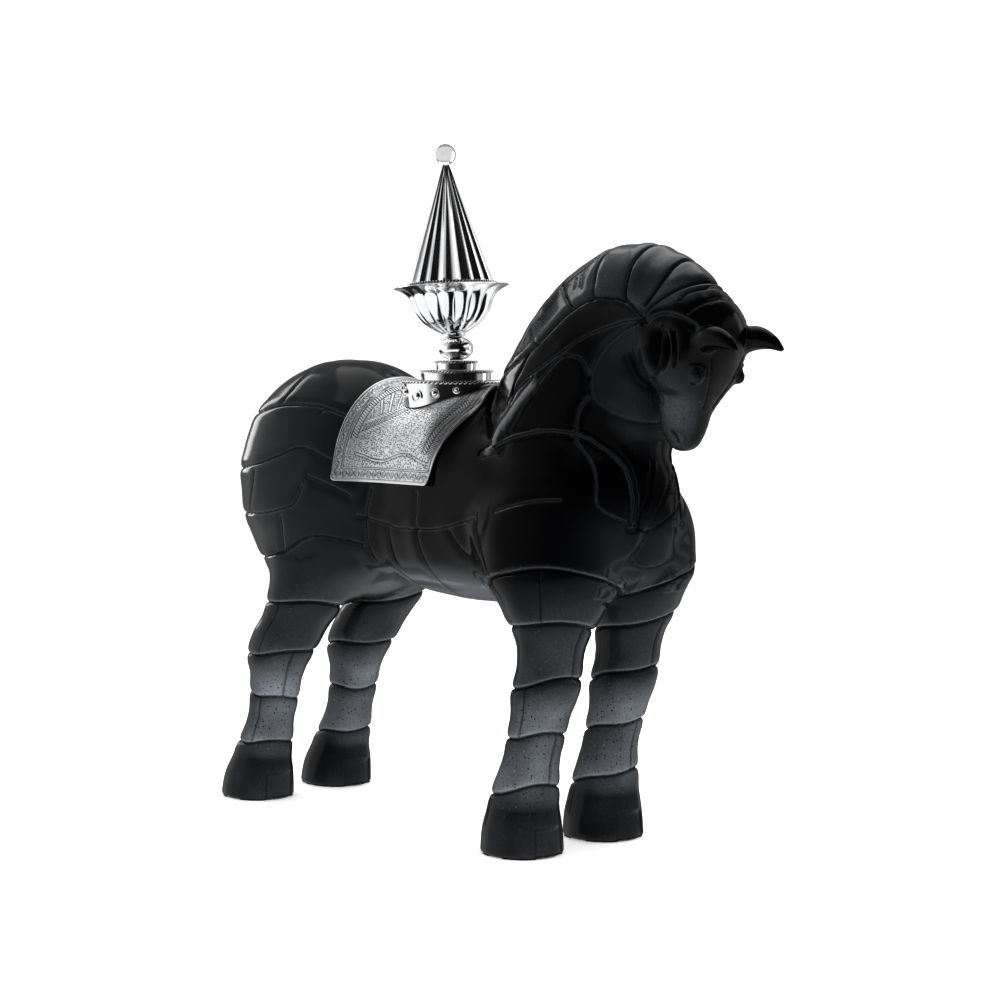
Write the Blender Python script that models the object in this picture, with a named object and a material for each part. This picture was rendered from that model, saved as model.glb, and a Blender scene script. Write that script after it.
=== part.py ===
"""A cast crystal horse that carries an engraved silver saddlecloth and a stacked silver finial.

The horse faces +X and stands on z = 0. It is drawn in thousandths of a metre for a horse 438 high at the mane,
and scaled to HORSE_HEIGHT, so its figures below are shares of that height. The silver and the ball have sizes of
their own, in metres. The horse is a field of blended solids. A net over the field gives its mesh, and the seams
of its armour-like plates are pressed into that mesh.
"""

import math

import bmesh
import bpy
import numpy as np
from mathutils import Matrix, Vector

# The horse
HORSE_HEIGHT = 0.438
DRAWN_HEIGHT = 438.0
NET_STEP = 3.4
HORSE_TRIANGLES = 4500
FOOT_LEVELLED = 1.0

# The saddlecloth. Its hem is found along lines that fan out from an axis inside the barrel, down to CLOTH_DROP
# radians from upright. Its front edge sweeps forward near the withers.
CLOTH_GAP = 0.0022
CLOTH_THICKNESS = 0.0012
CLOTH_LENGTH = 0.0975
CLOTH_DROP = 1.55
CLOTH_FLARE = 0.002
CLOTH_SWEEP = 0.0135
CLOTH_SWEEP_REACH = 0.9
CLOTH_ROWS = 9
CLOTH_STEPS = 26

# The drum and the discs above it
DRUM_RADIUS = 0.0405
DRUM_WALL = 0.0015
DRUM_GAP = 0.0007
BOSS_COUNT = 5
BOSS_SPACING = math.radians(23.5)
BOSS_RADII = (0.0056, 0.0042, 0.0031)
BOSS_HEIGHT = 0.0024
BOSS_DROP = 0.0115
BOSS_CLIMB = 0.0026
BOSS_SIDES = 8
DRUM_SIDES = 40
ROPE_RADIUS = 0.0011
LOWER_DISC_RADIUS = 0.0281
LOWER_DISC_HEIGHT = 0.0077
UPPER_DISC_RADIUS = 0.0164
UPPER_DISC_HEIGHT = 0.0070
REST_GAP = 0.0003

# The knop, cup, cover and ball, which lean back a little as one
KNOP_RADIUS = 0.0133
KNOP_HEIGHT = 0.0175
LEAN = math.radians(3.6)
CUP_RADIUS = 0.0325
CUP_FLANGE_RADIUS = 0.0440
CUP_HEIGHT = 0.0385
CUP_FOOT_RADIUS = 0.0085
CUP_WALL = 0.0014
CUP_SETBACK = 0.0016
CUP_LOBES = 14
LOBE_DEPTH = 0.0030
COVER_RADIUS = 0.0356
COVER_HEIGHT = 0.0920
COVER_TIP_RADIUS = 0.0024
COVER_WALL = 0.0014
COVER_FLUTES = 20
FLUTE_DEPTH = 0.0018
BALL_RADIUS = 0.0080

# In drawn units: where the saddle stands along the back, how high the drum's top is, and the axis that the
# cloth's lines start from.
SADDLE_X = 37.5
DRUM_TOP = 339.5
CLOTH_X = 24.0
CLOTH_AXIS = 262.0

# Forms of the horse: centre and half sizes. The legs are rows of height, centre x, centre y and the two half
# widths. The neck and the head are rows of centre x, centre z, half depth, half width and taper to the crest.
RUMP = ((-82, 0, 259), (97, 82, 95.5), 2.1)
BARREL = ((86, 0, 253), (155, 60, 78.5), 2.4)
BACK_TAPER = 0.8
BACK_TAPER_TOP = 0.9
WITHERS = (60, 92)
THIGH = ((-87, 31, 237), (67, 33.5, 66), 2.0)
SHOULDER = ((175, 36, 224), (63, 42, 57), 2.0)
BREAST = ((200, 0, 253), (49, 40, 61), 2.0)
FORELOCK = ((293, 0, 374.8), (21.5, 21.8, 22.1), 2.0)
FRONT_LEG = (
    (-3, 151.7, 43, 31, 29.5),
    (4, 151.8, 43, 31, 29.5),
    (20, 152, 43, 29.6, 28.2),
    (36, 153.8, 43, 26, 24.7),
    (56, 156.5, 42, 23, 21.8),
    (76, 162, 41.5, 20.8, 19.8),
    (96, 167, 41.3, 21.5, 20.4),
    (116, 173, 41.2, 24.5, 23.5),
    (136, 177, 41, 24, 23),
    (156, 180, 41.5, 26, 25),
    (176, 181, 42, 33, 31),
    (200, 182, 42, 40, 36),
)
HIND_LEG = (
    (-3, -154.4, 42, 31, 28),
    (4, -154.3, 42, 31, 28),
    (20, -152, 42, 29.2, 26.3),
    (36, -147.3, 42, 24.4, 22),
    (56, -140, 42, 21, 19),
    (76, -134, 42, 20, 18),
    (96, -130, 42, 21.5, 19.5),
    (116, -125.5, 42, 26.5, 24),
    (136, -114, 42, 30.5, 27.5),
    (156, -97, 42, 31, 28),
    (176, -86, 42, 35, 31),
    (200, -80, 40, 42, 34),
)
LEG_TOP = 200
NECK = (
    (158, 297, 76, 58, 0.3),
    (177, 339, 69, 50, 0.3),
    (193.5, 368.5, 57.5, 43.7, 0.3),
    (214.6, 387.2, 49.3, 39.7, 0.25),
    (237.2, 393.6, 42.9, 36, 0.2),
    (260.8, 391.5, 33.5, 31.5, 0.1),
    (275, 383.5, 27.5, 28.5, 0),
)
HEAD = (
    (281.7, 375.7, 27.3, 27.7, 0),
    (275.2, 362.6, 32.5, 34.5, 0),
    (277.1, 349.8, 25.3, 27.1, 0.12),
    (272.9, 327.8, 17, 19.1, 0.3),
    (269.2, 314.5, 16.3, 14, 0.2),
    (267.8, 306.6, 13.4, 10.8, 0),
)
HEAD_SQUARENESS = 2.7
EAR = ((299, 20, 368, 6.5), (314, 22, 372, 6.5), (326, 23.5, 369.3, 4.4), (334, 24, 364, 1.8))
TAIL = (
    (-160, 318, 8, 9, 0),
    (-176, 298, 10, 11, 0),
    (-183, 268, 10, 12, 0),
    (-181, 238, 9, 11, 0),
    (-172, 208, 5, 7, 0),
)
EYE = ((297.5, 22.2, 345), (5, 3.8, 5), 2.0)

# How far from the place where two forms meet the skin is rounded over.
LOIN_BLEND = 25
HOCK_BLEND = 14
ELBOW_BLEND = 18
THIGH_BLEND = 12
SHOULDER_BLEND = 14
BREAST_BLEND = 18
NECK_BLEND = 8
TAIL_BLEND = 5
FORELOCK_BLEND = 10
JAW_BLEND = 8
EYE_BLEND = 3

# Seams between the plates, seen from the side as x, z points, each with its depth.
SEAMS = (
    (((-205, 306), (-139, 312), (-92, 319), (-55, 320), (-29, 313)), 1.6),
    (((-92, 322), (-91, 340), (-98, 362)), 1.2),
    (((-180, 264), (-149, 268), (-104, 274), (-79, 281), (-55, 288), (-29, 278)), 1.6),
    (((-46, 266), (-33, 261), (-14, 252)), 1.0),
    (((-160, 232), (-108, 234), (-69, 241), (-58, 248), (-52, 258)), 1.4),
    (((-150, 196), (-124, 198), (-83, 205), (-49, 219), (-10, 214)), 1.6),
    (((-76, 234), (-82, 208)), 0.8),
    (((-108, 268), (-122, 234)), 0.6),
    (((4, 258), (-1, 240), (-5, 219), (-7, 202)), 1.4),
    (((-8, 237), (28, 230), (57, 230), (82, 232), (122, 242)), 1.4),
    (((57, 257), (56, 231)), 0.7),
    (((21, 229), (18, 212), (17, 197), (28, 170)), 1.2),
    (((56, 229), (56, 211), (62, 193), (74, 168)), 1.2),
    (((92, 231), (101, 218), (118, 203), (136, 180)), 1.2),
    (((125, 244), (124, 231), (131, 218), (150, 203)), 1.4),
    (((84, 277), (128, 290), (163, 302), (197, 307), (221, 301), (238, 282), (244, 256), (243, 238)), 1.6),
    (((210, 304), (218, 284), (223, 266), (228, 254), (243, 241)), 1.0),
    (((152, 249), (186, 257), (207, 259)), 0.8),
    (((224, 252), (233, 240), (236, 224), (234, 206)), 0.8),
    (((131, 290), (146, 310), (166, 327), (182, 345), (199, 362)), 1.2),
    (((199, 362), (211, 358), (218, 350), (221, 334), (212, 320), (210, 308)), 1.0),
    (((262, 386), (242, 376), (229, 365), (222, 351), (220, 336), (228, 322), (243, 310)), 1.6),
    (((96, 340), (153, 361), (189, 386), (213, 398), (230, 399), (247, 396), (263, 382)), 1.6),
    (((160, 412), (172, 400), (184, 384)), 1.2),
    (((204, 440), (207, 420), (216, 399)), 1.4),
    (((244, 446), (240, 422), (244, 398)), 1.4),
    (((272, 438), (269, 412), (262, 394)), 1.4),
    (((262, 388), (273, 399), (286, 408), (300, 414)), 1.2),
)

# Seams around the legs: height, rise to the front, rise to the outer side. Between them an upright seam marks
# each band at an angle from the front to the outer side.
FRONT_RINGS = ((195, 7, 14), (165, 4, 5), (125, 6, 0), (86, 4, 1), (46, 6, 1))
HIND_RINGS = ((161, 2, 4), (121, 2, -1), (85, -1.5, 1), (46, 1.5, 0.5))
RING_DEPTH = 1.7
FRONT_BAND_ANGLES = (60, 2, 85, 3)
HIND_BAND_ANGLES = (85, 20, 76)
BAND_SEAM_DEPTH = 0.8
HOOF_HEIGHT = 23
HOOF_HALF_ANGLE = 37
HOOF_DEPTH = 1.3
HOOF_SOFTNESS = 0.6
SEAM_WIDTH = 1.7
SEAM_REACH = 16.0
SEAM_SLOPE = 0.12
BAND_FADE = 4.0
PILLOW_RISE = 0.5
PILLOW_WIDTH = 6.0
LEG_SEAM_SIZE = 1.35
LEG_SEAM_HEIGHT = 30.0
BODY_SEAM_FOOT = 190.0

# The grid that the net is drawn on: it holds the whole horse, with the legs run on below the ground.
GRID_LENGTH = (-205, 350)
GRID_HALF_WIDTH = 100
GRID_HEIGHT = (-20, 450)

BLACK_CRYSTAL = ("black_crystal", (0.012, 0.013, 0.015), 0.08, 0.0)
ENGRAVED_SILVER = ("engraved_silver", (0.72, 0.73, 0.75), 0.28, 1.0)
POLISHED_SILVER = ("polished_silver", (0.86, 0.87, 0.88), 0.12, 1.0)
CLEAR_CRYSTAL = ("clear_crystal", (0.92, 0.95, 0.95), 0.02, 0.0)


def through(rows, share):
    """Rows of numbers, evenly keyed from 0 to 1, read at a share of the way with a smooth slope at each row."""
    rows = np.asarray(rows, float)
    slope = np.gradient(rows, axis=0)
    place = np.clip(np.asarray(share, float), 0, 1) * (len(rows) - 1)
    first = np.minimum(place.astype(int), len(rows) - 2)
    s = (place - first)[..., None]
    return (
        (2 * s**3 - 3 * s**2 + 1) * rows[first]
        + (s**3 - 2 * s**2 + s) * slope[first]
        + (3 * s**2 - 2 * s**3) * rows[first + 1]
        + (s**3 - s**2) * slope[first + 1]
    )


def share_at(keys, value):
    """The share of the way along evenly spaced rows at which their first column has this value."""
    return np.interp(value, keys, np.linspace(0, 1, len(keys)))


def blend(a, b, radius):
    """The nearer of two distances, rounded where they meet."""
    reach = np.maximum(radius - np.abs(a - b), 0) / radius
    return np.minimum(a, b) - reach * reach * radius / 4


def egg(points, form):
    """Distance to an ellipsoid on both sides of the median plane."""
    centre, radii, power = form
    offset = [points[:, 0] - centre[0], np.abs(points[:, 1]) - centre[1], points[:, 2] - centre[2]]
    parts = [np.abs(o / r) for o, r in zip(offset, radii)]
    size = np.maximum(sum(p**power for p in parts) ** (1 / power), 1e-6)
    slope = np.sqrt(sum((p ** (power - 1) / r) ** 2 for p, r in zip(parts, radii))) / size ** (power - 1)
    return (size - 1) / np.maximum(slope, 1e-6)


def leg(points, rows):
    """Distance to an upright tapering leg on both sides of the median plane."""
    heights = [row[0] for row in rows]
    centre_x, centre_y, half_x, half_y = through([row[1:] for row in rows], share_at(heights, points[:, 2])).T
    dx = points[:, 0] - centre_x
    dy = np.abs(points[:, 1]) - centre_y
    size = np.sqrt((dx / half_x) ** 2 + (dy / half_y) ** 2)
    slope = np.sqrt((dx / half_x**2) ** 2 + (dy / half_y**2) ** 2) / np.maximum(size, 1e-6)
    flat = (size - 1) / np.maximum(slope, 1 / (2 * half_x))
    return np.maximum(np.maximum(flat, heights[0] - points[:, 2]), points[:, 2] - LEG_TOP)


def limb(points, rows, power=2.0, pieces=18):
    """Distance to an egg-sectioned limb that bends in the median plane: rows of x, z, depth, width and taper."""
    nodes = through(rows, np.linspace(0, 1, pieces + 1))
    width = np.abs(points[:, 1])
    nearest = np.full(len(points), np.inf)
    for start, end in zip(nodes[:-1], nodes[1:]):
        run = end[:2] - start[:2]
        length = np.hypot(*run)
        from_x = points[:, 0] - start[0]
        from_z = points[:, 2] - start[1]
        along = np.clip((from_x * run[0] + from_z * run[1]) / length**2, 0, 1)
        off_x = from_x - along * run[0]
        off_z = from_z - along * run[1]
        depth, half, taper = (start[i] + along * (end[i] - start[i]) for i in (2, 3, 4))
        side = (off_z * run[0] - off_x * run[1]) / length
        half = half * (1 - taper * np.clip(side / depth, -1, 1))
        size = ((np.hypot(off_x, off_z) / depth) ** power + (width / half) ** power) ** (1 / power)
        nearest = np.minimum(nearest, (size - 1) * np.minimum(depth, half))
    return nearest


def horn(points, rows, pieces=8):
    """Distance to a round tapering rod through x, y, z points, each with its radius."""
    nodes = through(rows, np.linspace(0, 1, pieces + 1))
    place = points * (1, 0, 1) + np.abs(points) * (0, 1, 0)
    nearest = np.full(len(points), np.inf)
    for start, end in zip(nodes[:-1], nodes[1:]):
        run = end[:3] - start[:3]
        along = np.clip((place - start[:3]) @ run / (run @ run), 0, 1)
        gap = np.linalg.norm(place - start[:3] - along[:, None] * run, axis=1)
        nearest = np.minimum(nearest, gap - (start[3] + along * (end[3] - start[3])))
    return nearest


def ramp(value, start, end):
    """0 before the start and 1 past the end, with an even slope at both."""
    share = np.clip((value - start) / (end - start), 0, 1)
    return share * share * (3 - 2 * share)


def narrow_back(points):
    """The points spread sideways above the barrel, which narrows the back like a tent towards the withers."""
    rise = np.clip((points[:, 2] - BARREL[0][2]) / BARREL[1][2], 0, BACK_TAPER_TOP)
    spread = np.ones(points.shape)
    spread[:, 1] = 1 - BACK_TAPER * ramp(points[:, 0], *WITHERS) * rise**2
    return points / spread


def horse_distance(points):
    """Distance to the skin of the horse, in drawn units, less than zero inside."""
    body = blend(egg(points, RUMP), egg(narrow_back(points), BARREL), LOIN_BLEND)
    hind = blend(egg(points, THIGH), leg(points, HIND_LEG), HOCK_BLEND)
    fore = blend(egg(points, SHOULDER), leg(points, FRONT_LEG), ELBOW_BLEND)
    body = blend(blend(body, hind, THIGH_BLEND), fore, SHOULDER_BLEND)
    body = blend(body, egg(points, BREAST), BREAST_BLEND)
    body = blend(body, limb(points, NECK), NECK_BLEND)
    body = blend(body, limb(points, TAIL), TAIL_BLEND)
    head = blend(limb(points, HEAD, HEAD_SQUARENESS), egg(points, FORELOCK), FORELOCK_BLEND)
    body = blend(body, head, JAW_BLEND)
    body = blend(body, horn(points, EAR), EYE_BLEND)
    return blend(body, egg(points, EYE), EYE_BLEND)


def skin_normals(points, reach=0.4):
    steps = np.eye(3) * reach
    slope = np.stack([horse_distance(points + s) - horse_distance(points - s) for s in steps], 1)
    return slope / np.maximum(np.linalg.norm(slope, axis=1, keepdims=True), 1e-9)


def net_over_horse(step):
    """Points and four-sided faces over the skin, one point in each grid cell that the skin crosses."""
    (back, front), side, (under, top) = GRID_LENGTH, GRID_HALF_WIDTH, GRID_HEIGHT
    half = np.arange(-1, side / step) * step
    axes = [np.arange(back, front, step), half, np.arange(under, top, step)]
    grid = np.stack(np.meshgrid(*axes, indexing="ij"), -1)
    right = horse_distance(grid.reshape(-1, 3)).reshape(grid.shape[:3])[:, 1:]
    value = np.concatenate([right[:, :0:-1], right], 1)
    origin = np.array([axes[0][0], -half[-1], axes[2][0]])
    inside = value < 0
    corners = [(i, j, k) for i in (0, 1) for j in (0, 1) for k in (0, 1)]
    cells = [n - 1 for n in value.shape]
    count = sum(
        inside[i : i + cells[0], j : j + cells[1], k : k + cells[2]].astype(int) for i, j, k in corners
    )
    cell = np.argwhere((count > 0) & (count < 8))
    total = np.zeros((len(cell), 3))
    hits = np.zeros(len(cell))
    for a in corners:
        for axis in range(3):
            if a[axis]:
                continue
            b = list(a)
            b[axis] = 1
            va = value[tuple((cell + a).T)]
            vb = value[tuple((cell + b).T)]
            cross = (va < 0) != (vb < 0)
            place = np.array(a, float) + np.zeros((len(cell), 3))
            place[:, axis] = np.where(cross, va / np.where(cross, va - vb, 1), 0)
            total += place * cross[:, None]
            hits += cross
    points = origin + (cell + total / hits[:, None]) * step
    number = np.full(cells, -1)
    number[tuple(cell.T)] = np.arange(len(cell))
    faces = []
    for axis in range(3):
        one, two = [(1, 2), (2, 0), (0, 1)][axis]
        low = [slice(1, None)] * 3
        low[axis] = slice(0, -1)
        high = list(low)
        high[axis] = slice(1, None)
        flip = np.argwhere(inside[tuple(low)] != inside[tuple(high)])
        flip[:, one] += 1
        flip[:, two] += 1
        turn = np.eye(3, dtype=int)[one]
        other = np.eye(3, dtype=int)[two]
        quad = np.stack([number[tuple((flip - d).T)] for d in (turn + other, other, 0 * turn, turn)], 1)
        outward = inside[tuple(flip.T)]
        quad[~outward] = quad[~outward][:, ::-1]
        faces.append(quad)
    return points, np.concatenate(faces)


def on_skin(points, rounds=2):
    """The points moved along the slope of the field until they lie on the skin."""
    for _ in range(rounds):
        points = points - skin_normals(points) * horse_distance(points)[:, None]
    return points


def groove(distance, depth):
    """A rounded seam between two swelling plates: how far the skin moves at a distance from its line."""
    cut = -depth * np.exp(-((distance / SEAM_WIDTH) ** 2))
    swell = PILLOW_RISE * depth * np.exp(-(((np.abs(distance) - PILLOW_WIDTH) / PILLOW_WIDTH) ** 2))
    return cut + swell


def seam_distance(points, normals, outline, pieces=16):
    """Distance over the skin to a line drawn on the side view."""
    nodes = through(outline, np.linspace(0, 1, pieces + 1))
    best = np.full(len(points), np.inf)
    away = np.zeros((len(points), 2))
    for start, end in zip(nodes[:-1], nodes[1:]):
        run = end - start
        offset = points[:, (0, 2)] - start
        along = np.clip(offset @ run / (run @ run), 0, 1)
        offset = offset - along[:, None] * run
        gap = np.hypot(offset[:, 0], offset[:, 1])
        near = gap < best
        best[near] = gap[near]
        away[near] = offset[near]
    heading = away / np.maximum(best, 1e-6)[:, None]
    facing = heading[:, 0] * normals[:, 0] + heading[:, 1] * normals[:, 2]
    return best / np.sqrt(np.maximum(1 - facing**2, SEAM_SLOPE))


def leg_carving(points, rows, rings, band_angles):
    """The seams around one pair of legs, with an upright seam in each band and the hoof's edge."""
    x, y, z = points[:, 0], np.abs(points[:, 1]), points[:, 2]
    heights = [row[0] for row in rows]
    centre_x, centre_y, half_x, half_y = through([row[1:] for row in rows], share_at(heights, z)).T
    angle = np.arctan2(y - centre_y, x - centre_x)
    size = np.hypot((x - centre_x) / half_x, (y - centre_y) / half_y)
    on_leg = (size < LEG_SEAM_SIZE) & (z < rings[0][0] + LEG_SEAM_HEIGHT)
    move = np.zeros(len(points))
    levels = [h + front * np.cos(angle) + outer * np.sin(angle) for h, front, outer in rings]
    for level in levels:
        move += groove(z - level, RING_DEPTH)
    for upper, lower, turn in zip(levels[:-1], levels[1:], band_angles):
        across = (angle - math.radians(turn)) * half_x
        fade = np.clip(np.minimum(upper - z, z - lower) / BAND_FADE, 0, 1)
        move -= BAND_SEAM_DEPTH * fade * np.exp(-((across / SEAM_WIDTH) ** 2))
    side = (np.abs(angle) - math.radians(HOOF_HALF_ANGLE)) * half_x
    edge = np.maximum(z - HOOF_HEIGHT, side)
    move -= HOOF_DEPTH / 2 * (1 - np.tanh(edge / (2 * HOOF_SOFTNESS)))
    return np.where(on_leg, move, 0)


def carved(points):
    """The skin with every seam pressed in."""
    normals = skin_normals(points)
    move = np.zeros(len(points))
    place = points[:, (0, 2)]
    for outline, depth in SEAMS:
        low = np.min(outline, axis=0) - SEAM_REACH
        high = np.max(outline, axis=0) + SEAM_REACH
        near = np.all((place > low) & (place < high), axis=1)
        move[near] += groove(seam_distance(points[near], normals[near], outline), depth)
    move = np.where((points[:, 2] < BODY_SEAM_FOOT) & (move > 0), move / 2, move)
    move += leg_carving(points, FRONT_LEG, FRONT_RINGS, FRONT_BAND_ANGLES)
    move += leg_carving(points, HIND_LEG, HIND_RINGS, HIND_BAND_ANGLES)
    return points + normals * move[:, None]


def material(slot):
    name, colour, roughness, metallic = slot
    made = bpy.data.materials.get(name) or bpy.data.materials.new(name)
    made.use_nodes = True
    shader = made.node_tree.nodes["Principled BSDF"]
    shader.inputs["Base Color"].default_value = (*colour, 1)
    shader.inputs["Roughness"].default_value = roughness
    shader.inputs["Metallic"].default_value = metallic
    return made


def piece(name, points, faces, slot, sharp=math.radians(40)):
    """One closed object from points in metres and faces."""
    mesh = bpy.data.meshes.new(name)
    mesh.from_pydata([tuple(p) for p in points], [], [tuple(f) for f in faces])
    mesh.validate()
    made = bmesh.new()
    made.from_mesh(mesh)
    bmesh.ops.recalc_face_normals(made, faces=made.faces)
    made.to_mesh(mesh)
    made.free()
    mesh.materials.append(material(slot))
    mesh.shade_smooth()
    mesh.set_sharp_from_angle(angle=sharp)
    thing = bpy.data.objects.new(name, mesh)
    bpy.context.scene.collection.objects.link(thing)
    return thing


def settled(thing):
    """The object with its modifiers turned into plain mesh."""
    seen = thing.evaluated_get(bpy.context.evaluated_depsgraph_get())
    mesh = bpy.data.meshes.new_from_object(seen)
    thing.modifiers.clear()
    thing.data = mesh
    return thing


def rings_piece(name, rings, slot, close_first=True, close_last=True):
    """One closed object over rings of points that all have the same count."""
    count = len(rings[0])
    points = [p for ring in rings for p in ring]
    faces = []
    for r in range(len(rings) - 1):
        for i in range(count):
            j = (i + 1) % count
            faces.append((r * count + i, r * count + j, (r + 1) * count + j, (r + 1) * count + i))
    if close_first:
        faces.append(tuple(range(count))[::-1])
    if close_last:
        faces.append(tuple((len(rings) - 1) * count + i for i in range(count)))
    return piece(name, points, faces, slot)


def ring(radius, height, count, centre=(0.0, 0.0), ridges=0, depth=0.0):
    """Points around an upright axis; between its ridges the ring falls back by the depth."""
    points = []
    for i in range(count):
        turn = 2 * math.pi * i / count
        reach = radius - depth * (1 - abs(math.cos(ridges * turn / 2)))
        points.append((centre[0] + reach * math.cos(turn), centre[1] + reach * math.sin(turn), height))
    return points


def cut_at_ground(thing):
    """Removes what is below the ground and closes the feet with flat undersides."""
    cut = bmesh.new()
    cut.from_mesh(thing.data)
    every = cut.verts[:] + cut.edges[:] + cut.faces[:]
    bmesh.ops.bisect_plane(cut, geom=every, plane_co=(0, 0, 0), plane_no=(0, 0, 1), clear_inner=True)
    bmesh.ops.holes_fill(cut, edges=[e for e in cut.edges if e.is_boundary])
    bmesh.ops.recalc_face_normals(cut, faces=cut.faces)
    cut.to_mesh(thing.data)
    cut.free()


def horse(unit):
    points, faces = net_over_horse(NET_STEP)
    points = carved(on_skin(points)) * unit
    thing = piece("horse", points, faces, BLACK_CRYSTAL)
    cut_at_ground(thing)
    thin = thing.modifiers.new("fewer_faces", "DECIMATE")
    thin.ratio = HORSE_TRIANGLES / (2 * len(faces))
    thin.use_symmetry = True
    thin.symmetry_axis = "Y"
    settled(thing)
    for vertex in thing.data.vertices:
        if vertex.co.z < FOOT_LEVELLED * unit:
            vertex.co.z = 0
    thing.data.shade_smooth()
    thing.data.set_sharp_from_angle(angle=math.radians(50))
    return thing


def level_above_skin(start, heading, level, unit, reach=130.0):
    """Where lines from start points leave the horse by a given gap: points in metres."""
    start = np.asarray(start, float) / unit
    heading = np.asarray(heading, float)
    near = np.zeros(len(start))
    far = np.full(len(start), reach)
    for _ in range(26):
        middle = (near + far) / 2
        outside = horse_distance(start + heading * middle[:, None]) > level / unit
        far = np.where(outside, middle, far)
        near = np.where(outside, near, middle)
    return (start + heading * far[:, None]) * unit


def saddlecloth(unit):
    """A bent sheet: loops from the rear edge to the front edge, each over the back and back below."""
    turn = np.linspace(-CLOTH_DROP, CLOTH_DROP, CLOTH_STEPS + 1)
    heading = np.stack([0 * turn, np.sin(turn), np.cos(turn)], 1)
    sweep = CLOTH_SWEEP * np.exp(-((turn / CLOTH_SWEEP_REACH) ** 2))
    hem = ramp(np.abs(turn) / CLOTH_DROP, 0.85, 1.15) * 2 * np.sign(turn) * CLOTH_FLARE
    loops = []
    for share in np.linspace(0, 1, CLOTH_ROWS):
        x = CLOTH_X * unit + (share - 0.5) * CLOTH_LENGTH + share * sweep
        start = np.stack([x, 0 * turn, 0 * turn + CLOTH_AXIS * unit], 1)
        faces = []
        for level in (CLOTH_GAP, CLOTH_GAP + CLOTH_THICKNESS):
            line = level_above_skin(start, heading, level, unit)
            line[:, 1] += hem
            faces.append([tuple(point) for point in line])
        loops.append(faces[0] + faces[1][::-1])
    return rings_piece("saddlecloth", loops, ENGRAVED_SILVER)


def drum_foot(radius, unit, count):
    """The height of the cloth's outer face under a circle around the saddle's axis."""
    turn = 2 * np.pi * np.arange(count) / count
    centre = SADDLE_X * unit
    start = np.stack([centre + radius * np.cos(turn), radius * np.sin(turn), 0 * turn + CLOTH_AXIS * unit], 1)
    heading = np.tile((0.0, 0.0, 1.0), (count, 1))
    return level_above_skin(start, heading, CLOTH_GAP + CLOTH_THICKNESS + DRUM_GAP, unit)


def saddle_drum(unit):
    """An upright ring under a flat top, its foot shaped to the cloth, with round bosses on both sides."""
    centre = (SADDLE_X * unit, 0.0)
    top = DRUM_TOP * unit
    under = top - DRUM_WALL
    inner_radius = DRUM_RADIUS - DRUM_WALL
    inner, outer = (drum_foot(radius, unit, DRUM_SIDES) for radius in (inner_radius, DRUM_RADIUS))
    for foot in (inner, outer):
        foot[:, 2] = np.minimum(foot[:, 2], under - REST_GAP)
    loops = [ring(inner_radius, under, DRUM_SIDES, centre), inner, outer]
    rope = ((0, 3), (ROPE_RADIUS, 2), (ROPE_RADIUS, 1), (0, 0))
    for out, drop in rope:
        bead = np.array(ring(DRUM_RADIUS + out, top - drop * ROPE_RADIUS, DRUM_SIDES, centre))
        bead[:, 2] = np.maximum(bead[:, 2], np.array(loops[-1])[:, 2] + REST_GAP / 4)
        loops.append(bead)
    loops = [[tuple(point) for point in loop] for loop in loops]
    drum = rings_piece("saddle_drum", loops, POLISHED_SILVER)
    for side in (-1, 1):
        for i in range(BOSS_COUNT):
            step = i - BOSS_COUNT // 2
            turn = side * math.pi / 2 + step * BOSS_SPACING
            middle = Vector((*centre, top - BOSS_DROP + abs(step) * BOSS_CLIMB))
            add_boss(drum, middle, turn, BOSS_RADII[abs(step)])
    return drum


def add_boss(drum, middle, turn, radius):
    """A stepped dome on the drum's wall, joined to it. The middle is on the drum's axis at the boss's height."""
    sides = BOSS_SIDES
    rim = BOSS_HEIGHT / 4
    profile = ((radius, -DRUM_WALL / 2), (radius, rim), (radius * 0.72, rim), (radius * 0.55, 3 * rim))
    rings = [ring(r, h, sides) for r, h in profile]
    points = [p for row in rings for p in row] + [(0, 0, BOSS_HEIGHT)]
    faces = [tuple(range(sides))[::-1]]
    for r in range(len(profile) - 1):
        for i in range(sides):
            j = (i + 1) % sides
            faces.append((r * sides + i, r * sides + j, (r + 1) * sides + j, (r + 1) * sides + i))
    last = (len(profile) - 1) * sides
    faces += [(last + i, last + (i + 1) % sides, last + sides) for i in range(sides)]
    place = Matrix.Translation(middle) @ Matrix.Rotation(turn, 4, "Z")
    place = place @ Matrix.Translation((DRUM_RADIUS, 0, 0)) @ Matrix.Rotation(math.pi / 2, 4, "Y")
    cutter = piece("boss", [place @ Vector(p) for p in points], faces, POLISHED_SILVER)
    join = drum.modifiers.new("boss", "BOOLEAN")
    join.operation = "UNION"
    join.solver = "EXACT"
    join.object = cutter
    settled(drum)
    bpy.data.objects.remove(cutter)


def disc(name, radius, low, height, centre, count=32):
    """A round plate with a bead around its upper edge."""
    top = low + height
    rows = (
        (radius, low),
        (radius, top - 2.2 * ROPE_RADIUS),
        (radius + ROPE_RADIUS, top - 1.6 * ROPE_RADIUS),
        (radius + ROPE_RADIUS, top - 0.5 * ROPE_RADIUS),
        (radius, top),
    )
    return rings_piece(name, [ring(r, z, count, centre) for r, z in rows], POLISHED_SILVER)


def leaned(thing, pivot):
    """The object turned about the knop's foot, so that the top goes back."""
    turn = Matrix.Translation(pivot) @ Matrix.Rotation(-LEAN, 4, "Y") @ Matrix.Translation(-pivot)
    thing.data.transform(turn)
    return thing


def knop(low, centre):
    rows = []
    levels = 9
    for i in range(levels):
        turn = math.pi * (0.12 + 0.76 * i / (levels - 1))
        height = low + KNOP_HEIGHT * (0.5 - 0.5 * math.cos(turn) / math.cos(0.12 * math.pi))
        rows.append(ring(KNOP_RADIUS * math.sin(turn), height, 16, centre))
    return rings_piece("knop", rows, POLISHED_SILVER)


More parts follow.
